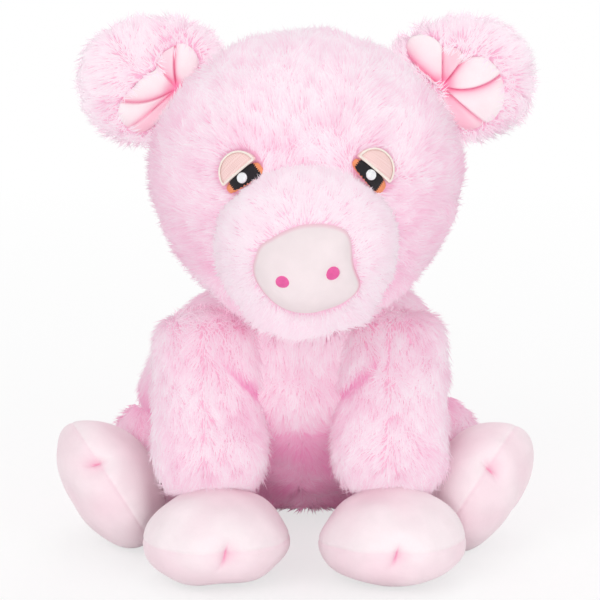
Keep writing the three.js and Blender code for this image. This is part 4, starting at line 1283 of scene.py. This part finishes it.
class PIG_OT_ears(PigOperator):
    """The ears: fur pouches with a hollow in front, in which the velour lining is folded into pleats"""

    bl_idname = "pig.ears"
    bl_label = "Ears"

    def build(self):
        for word, sign in SIDES:
            self.ear(word, sign)

    def ear(self, word, sign):
        sizes, head, ear = self.sizes, self.forms["head"], self.forms[f"ear_{word}"]
        root_place = head.laid_on(HEAD[None] + 0.3 * (ear.place - HEAD)[None])[0]
        lining = LININGS[word]
        x, z = lining["root"]
        centre = np.array([x * MM + HEAD[0], ear.place[1], z * MM + HEAD[2]])
        rim = smooth_ring(lining["outline"])

        def over_lining(points):
            """How far from the lining's root a point is, as a share of the lining's reach there."""
            x, z = (points - centre)[..., 0], (points - centre)[..., 2]
            share = np.hypot(x, z) / rim(np.arctan2(z, x))
            return np.where(points[..., 1] < ear.place[1], share, 9)

        rows = ear.rows(-sizes.skin_depth, rings=64, columns=96)
        hollow = 1 - blend_in(over_lining(rows), 0.88, 1.02)
        rows = rows - 5.5 * MM * hollow[..., None] * FRONT
        rows = head.laid_on(rows.reshape(-1, 3), -sizes.skin_depth + 0.5 * MM).reshape(rows.shape)
        bag = shell(f"ear_bag_{word}", rows)
        finish_piece(bag, self.backing(), f"ear_{word}", (f"ear_outer_{word}",))

        def by_rim(root):
            """1 beside the lining's rim, 0 from there outwards."""
            return 1 - blend_in(over_lining(root), 1.05, 1.3)

        def comb(root, normal):
            wisp = by_rim(root) * (CLUMP.value(root * 3) > 0.4)
            inward = unit((centre - root) * [1, 0, 1])
            return unit(root - root_place) + 0.25 * DOWN + 2.2 * wisp[:, None] * inward

        def keep(root):
            return outside((head, -2 * MM))(root) & (over_lining(root) > 0.97)

        def stretch(root):
            return 1 - 0.25 * by_rim(root)

        arrays = grow_pile(
            sizes, ear, comb, keep, [(head, -5 * MM)], seed=31 + sign,
            length=0.95, lay=0.9, density=1.15,
            deepen=lambda root: -0.22 + 0.12 * by_rim(root), stretch=stretch,
        )
        finish_pile(tufts(f"ear_pile_{word}", *arrays), self.pile(), f"ear_{word}")
        self.lining(word, ear, centre, lining, rim)

    def lining(self, word, ear, centre, lining, rim):
        """Velour lobes that fan out from the ear's root, each with its one edge tucked under the next. A
        crease is steep on its one side: -exp(-d / w) before it and -exp(-5 |d| / w) behind it. Painted shade
        deepens the velour's colour near the root, in the creases and on the shaded lobes."""
        rings, angle = 46, circle(300)
        face = np.sin(np.linspace(0.03, np.pi / 2, rings))
        share = np.concatenate([face, np.sin(np.linspace(1.45, 0.03, 8))])[:, None]
        far = share * rim(angle)
        flat = np.stack([far * np.cos(angle), 0 * far, far * np.sin(angle)], axis=-1)
        points = ear.surface_along(centre + flat + 5 * MM * FRONT, FRONT, 0)
        lift = -3 * MM - 2.2 * MM * bell(far, 5 * MM)
        unshaded = blend_in(far, 1 * MM, 8 * MM) * 0.6 + 0.4
        for bearing, bend, width, depth in lining["creases"]:
            turned = np.radians(bearing + bend * (1 - share)) - angle
            turned = (turned + np.pi) % (2 * np.pi) - np.pi
            beside = far * np.sin(np.clip(turned, -np.pi / 2, np.pi / 2))
            width = width * MM
            tucked = np.where(beside > 0, np.exp(-beside / width), np.exp(5 * beside / width))
            lift = lift - 2.8 * MM * depth * tucked * blend_in(far, 0, 6 * MM)
            unshaded = unshaded * (1 - depth * tucked**0.8)
        for bearing, half, depth in lining["shades"]:
            turned = (np.degrees(angle) - bearing + 180) % 360 - 180
            unshaded = unshaded * (1 - depth * np.exp(-((turned / half) ** 4)))
        lift = lift - 2.2 * MM * (1 - dome(share, 7))
        lift = lift + 0.25 * MM * Ripple(81, 0.012).value(points)
        on_face = np.arange(len(share))[:, None] < rings
        points = points + np.where(on_face, lift, -9.5 * MM)[..., None] * FRONT
        piece = shell(f"ear_lining_pleats_{word}", points, np.clip(unshaded, 0, 1))
        colours = self.colours
        velour = self.cloth("lining_velour", velour_material, colours.lining, colours.lining_crease_shade, 1700)
        finish_piece(piece, velour, f"ear_{word}", (f"ear_lining_{word}",))


class SleeveOperator(PigOperator):
    """Shared by the front and the hind legs: a fur sleeve whose pile is combed down to the hoof"""

    def sleeve(self, leg, seed, part, **pile):
        torso, head, sizes = self.forms["torso"], self.forms["head"], self.sizes
        sleeve, hoof = self.forms[f"{leg}_sleeve"], self.forms[f"{leg}_hoof"]
        rows = sleeve.rows(-sizes.skin_depth, rings=56, columns=72)
        rows = torso.out_along(rows, torso.away(rows), -sizes.skin_depth + 1 * MM)
        rows = head.out_along(rows, DOWN, 0)
        rows[..., 2] = np.maximum(rows[..., 2], 1 * MM)
        bag = shell(f"{leg}_bag", rows)
        finish_piece(bag, self.backing(), leg, (f"{leg}_sleeve", f"{leg}_filling"))
        limb = sleeve.turn[:, 2]

        def comb(root, normal):
            x = ((root - sleeve.place) @ sleeve.turn)[:, :1]
            ahead = blend_in(-normal[:, 1:2], 0.2, 0.8)
            apart = part * ahead * np.sign(x + 2 * MM) * np.exp(-np.abs(x + 2 * MM) / (14 * MM))
            return limb + 0.25 * DOWN + apart * X_AXIS

        def beside_seam(root):
            """How near a point of the front is to the chest's V seam, which runs on over the sleeves: from
            19 mm aside and 82 mm up it goes 20.5 mm outwards for each 25 mm that it rises."""
            x, y, z = (root - ORIGIN).T / MM
            far = ((np.abs(x) - 19) * 25 - (z - 82) * 20.5) / 32.3
            return bell(far, 1.9) * blend_in(z, 76, 84) * (1 - blend_in(z, 104, 112)) * (y < -30)

        def stretch(root):
            """Shorter pile in the seam, and a longer fringe at the ankle."""
            return 1 - 0.5 * beside_seam(root) + 0.35 * blend_in(sleeve.ball_of(root)[:, 2], 0.7, 0.95)

        keep = outside((torso, -1 * MM), (head, 2 * MM), (hoof, -0.5 * MM))
        solids = [(hoof, 0.3 * MM), (head, -3 * MM)]
        legs = [form for name, form in self.forms.items() if "leg" in name and not name.startswith(leg)]
        # Painted shade: deeper pile in the V seam's crease and next to the torso and the other legs
        others = [(form, 0.6) for form in (torso, *legs)]
        arrays = grow_pile(
            sizes, sleeve, comb, keep, solids, seed,
            others=others, deepen=lambda root: 0.7 * beside_seam(root), stretch=stretch, **pile
        )
        finish_pile(tufts(f"{leg}_pile", *arrays), self.pile(), leg)


class PIG_OT_front_legs(SleeveOperator):
    """The front legs' fur sleeves, parted along their front seam"""

    bl_idname = "pig.front_legs"
    bl_label = "Front legs"

    def build(self):
        for word, sign in SIDES:
            self.sleeve(f"front_leg_{word}", 41 + sign, 0.3, lay=1.0)


class PIG_OT_hind_legs(SleeveOperator):
    """The hind legs' fur sleeves, the pig's haunches"""

    bl_idname = "pig.hind_legs"
    bl_label = "Hind legs"

    def build(self):
        for word, sign in SIDES:
            self.sleeve(f"hind_leg_{word}", 51 + sign, 0.0, lay=1.05)


class PIG_OT_hooves(PigOperator):
    """The velour hooves: a sole seam around each, and a stitched cleft at the toe"""

    bl_idname = "pig.hooves"
    bl_label = "Hooves"

    def build(self):
        for pair in ("front", "hind"):
            for word, sign in SIDES:
                self.hoof(f"{pair}_leg_{word}", 61 + sign, 0.17 if pair == "front" else 0.09)

    def hoof(self, leg, seed, tall):
        """One hoof. Its columns crowd at the toe, a = s - 0.75 sin s. A groove, exp(-(d / w)^2) deep at the
        height d from the sole's seam, draws puckers after it. The painted shade of the cleft's narrow crease
        reaches up and down by tall, a share of half the hoof's height."""
        form = self.forms[f"{leg}_hoof"]
        step = circle(210)
        around = step - 0.75 * np.sin(step) - np.pi / 2
        u = rings_of_ball(140, around)
        points = form.point(u)
        normal = unit(points - form.place)
        sole = u[..., 2] + 0.05
        groove = bell(sole, 0.035)
        pucker = bell(sole, 0.1) * np.sin(around * 38 + 3 * np.sin(around * 5))
        lumps = Ripple(seed, 0.024).value(points)
        height = -0.35 * MM * groove + 0.1 * MM * pucker + 0.4 * MM * lumps
        points = points + height[..., None] * normal
        points[..., 2] = np.maximum(points[..., 2], 0)
        front = np.clip(-u[..., 1], 0, 1) ** 4
        apart, high = beside_cleft(u), u[..., 2] - CLEFT_HEIGHT
        slit_shade = front * bell(apart, 0.016 + 0.1 * np.maximum(-high, 0), high, tall)
        cleft_shade = front * bell(apart - 0.03, 0.12, high, 0.2)
        under = 1 - blend_in(u[..., 2], -0.1, 0)
        furs = [f for n, f in self.forms.items() if n == "torso" or n.endswith("sleeve")]
        close = 0.9 * np.maximum.reduce([fur.near(points, 3.5 * MM) for fur in furs])
        # Painted shade: deeper colour in the cleft's crease and around it, in the sole's seam, on the
        # underside and next to the fur; the lumps vary it a little at random
        fold = 1 - 0.75 * slit_shade - 0.3 * cleft_shade - 0.06 * groove - 0.16 * under - 0.25 * close + 0.03 * lumps
        piece = shell(f"{leg}_hoof_cover", points, np.clip(fold, 0, 1))
        velour = self.cloth("hoof_velour", velour_material, self.colours.hoof, self.colours.hoof_crease_shade)
        finish_piece(piece, velour, leg, (f"{leg}_hoof",))


class PIG_OT_tail(PigOperator):
    """The tail: a velour tube that runs out and curls into a corkscrew"""

    bl_idname = "pig.tail"
    bl_label = "Tail"

    def build(self):
        """The tube's line runs straight out, and then by its pitch with each turn of a circle that starts at
        its foot: x = r sin a, z = r (1 - cos a). It tapers, and is rounded over at its tip."""
        torso = self.forms["torso"]
        steps, height = 150, 2 * TAIL_RISE - 1
        root = torso.point(np.array([0, math.sqrt(1 - height**2), height]))
        stub, radius, pitch, turns = 16 * MM, 8.5 * MM, 15 * MM, 1.4
        curl = turns * math.hypot(2 * math.pi * radius, pitch)
        straight = 2 * stub / (2 * stub + curl)
        t = np.linspace(0.55 * straight, 1, steps)
        turn = np.maximum(t - straight, 0) / (1 - straight) * 2 * np.pi * turns
        out = stub * (2 * np.minimum(t / straight, 1) - 1) + pitch * turn / (2 * np.pi)
        line = np.stack([radius * np.sin(turn), out, radius * (1 - np.cos(turn))], axis=-1)
        line = line @ turn_about(0, TAIL_TILT).T + root
        way = unit(np.gradient(line, axis=0))
        side = unit(np.cross(way, X_AXIS))
        lift = np.cross(side, way)
        left = np.linspace(1, 0, steps)
        girth = 4.6 * MM * np.sqrt(1 - np.clip(1 - left / 0.05, 0, 0.97) ** 2) * (0.82 + 0.18 * left)
        ring = circle(28)
        spoke = spokes(side, lift, ring)
        rows = line[:, None] + girth[:, None, None] * spoke
        rows = rows + 0.22 * MM * Ripple(71, 0.009).value(rows)[..., None] * spoke
        seam = 1 - 0.6 * bell(np.sin(ring / 2), 0.06) * np.ones((steps, 1))
        velour = self.cloth("tail_velour", velour_material, self.colours.tail, self.colours.pile_root_and_shade)
        finish_piece(shell("tail_tube", rows, seam), velour, "tail", ("tail",))


# The round lamps as (name, place, width, power), and the backdrop's strength as a light
LAMPS = (
    ("key_softbox", (-0.75, -1.25, 1.25), 1.1, 5.0),
    ("fill_softbox", (1.15, -1.15, 0.7), 1.2, 2.9),
    ("low_softbox", (0.0, -1.6, 0.18), 0.36, 3.6),
    ("top_softbox", (0.1, 0.25, 1.5), 1.2, 3.2),
    ("back_softbox", (0.5, 1.5, 0.8), 1.2, 2.2),
)
BACKDROP_LIGHT = 0.72
CAMERA_LENS, CAMERA_SENSOR = 156, 36
CAMERA_DISTANCE, CAMERA_RISE, CAMERA_TARGET = 1.3, math.radians(14), 122 * MM


class PIG_OT_stage(PigOperator):
    """The plain pale floor, the soft studio light and the camera"""

    bl_idname = "pig.stage"
    bl_label = "Stage"

    def build(self):
        self.floor()
        self.lights()
        self.camera()

    def floor(self):
        """A wide round floor. Far from the pig it fades into the white backdrop."""
        columns = 64
        radii = np.concatenate([np.linspace(0.02, 1, 30), [2, 4, 8]])
        spoke = spokes(X_AXIS[None], Y_AXIS[None], circle(columns))
        rows = radii[:, None, None] * spoke + 0.4 * MM * DOWN
        net = np.arange(len(radii))[:, None] * columns + np.arange(columns + 1) % columns
        faces = [weave(net)[:, ::-1], np.arange(columns)[None]]
        uvs = [np.zeros((*corners.shape, 2)) for corners in faces]
        floor = mesh_object("floor", rows.reshape(-1, 3), faces, uvs)
        pale = (0.95, 0.95, 0.95, 1)
        finish = Finish("pale_floor", base_color=pale, roughness=0.9, specular_ior_level=0.1)
        seen = finish.node("ShaderNodeLightPath", {}, {}, "Is Camera Ray")
        far = finish.node("ShaderNodeVectorMath", {"operation": "LENGTH"}, {0: finish.place}, "Value")
        fade = finish.between(far, 0.25, 0.9, 0.66, 1.0)
        glow = finish.node("ShaderNodeEmission", {}, {"Color": (1, 1, 1, 1), "Strength": 1.0})
        body = Wire(finish, finish.shader.outputs[0])
        mixed = finish.node("ShaderNodeMixShader", {}, {0: seen * fade, 1: body, 2: glow})
        finish.tree.links.new(mixed.socket, finish.tree.nodes["Material Output"].inputs[0])
        floor.data.materials.append(finish.material)

    def lights(self):
        """Soft round lamps, and a backdrop that is white to the camera and a little darker as a light."""
        scene = bpy.context.scene
        scene.world = bpy.data.worlds.new("soft_studio")
        nodes = Nodes(scene.world)
        background = nodes.tree.nodes["Background"]
        background.inputs["Color"].default_value = (1, 1, 1, 1)
        camera, glossy, through = (
            nodes.node("ShaderNodeLightPath", {}, {}, f"Is {kind} Ray")
            for kind in ("Camera", "Glossy", "Transmission")
        )
        level = nodes.between(camera + glossy + through, 0, 1, BACKDROP_LIGHT, 1.0)
        nodes.tree.links.new(level.socket, background.inputs["Strength"])
        for name, place, size, power in LAMPS:
            lamp = bpy.data.lights.new(name, "AREA")
            lamp.shape, lamp.size, lamp.energy = "DISK", size, power
            lamp_object = bpy.data.objects.new(name, lamp)
            scene.collection.objects.link(lamp_object)
            aim(lamp_object, np.array(place), HEAD - Z_AXIS * 0.06)

    def camera(self):
        scene = bpy.context.scene
        scene.view_settings.view_transform = "Standard"
        camera = bpy.data.objects.new("camera", bpy.data.cameras.new("camera"))
        scene.collection.objects.link(camera)
        camera.data.lens, camera.data.sensor_width = CAMERA_LENS, CAMERA_SENSOR
        camera.data.clip_start, camera.data.clip_end = 0.05, 30
        target = ORIGIN + np.array([0, 0, CAMERA_TARGET])
        back = np.array([0, -math.cos(CAMERA_RISE), math.sin(CAMERA_RISE)]) * CAMERA_DISTANCE
        aim(camera, target + back, target)
        scene.camera = camera


def aim(obj, place, target):
    """Puts a lamp or the camera at a place, looking at a target with Z up."""
    ways = ways_at(place - target, np.cross(Z_AXIS, place - target))
    obj.location = place
    obj.rotation_mode = "QUATERNION"
    obj.rotation_quaternion = Matrix(ways.tolist()).to_quaternion()


PIECES = (
    PIG_OT_torso,
    PIG_OT_head,
    PIG_OT_muzzle,
    PIG_OT_nose,
    PIG_OT_eyes,
    PIG_OT_ears,
    PIG_OT_front_legs,
    PIG_OT_hind_legs,
    PIG_OT_hooves,
    PIG_OT_tail,
    PIG_OT_stage,
)


class PIG_PT_panel(bpy.types.Panel):
    """Lists the pig's sizes, colours and pieces"""

    bl_idname = "PIG_PT_panel"
    bl_label = "Plush pig"
    bl_space_type = "VIEW_3D"
    bl_region_type = "UI"
    bl_category = "Plush pig"

    def draw(self, context):
        for group in (context.scene.pig_sizes, context.scene.pig_colours):
            box = self.layout.box()
            for name in group.__annotations__:
                box.prop(group, name)
        for piece in PIECES:
            self.layout.operator(piece.bl_idname)


CLASSES = (PigSizes, PigColours, *PIECES, PIG_PT_panel)


def register():
    for item in CLASSES:
        bpy.utils.register_class(item)
    bpy.types.Scene.pig_sizes = bpy.props.PointerProperty(type=PigSizes)
    bpy.types.Scene.pig_colours = bpy.props.PointerProperty(type=PigColours)


def unregister():
    del bpy.types.Scene.pig_sizes, bpy.types.Scene.pig_colours
    for item in reversed(CLASSES):
        bpy.utils.unregister_class(item)


def main():
    register()
    for piece in PIECES:
        group, name = piece.bl_idname.split(".")
        getattr(getattr(bpy.ops, group), name)()


if __name__ == "__main__":
    main()
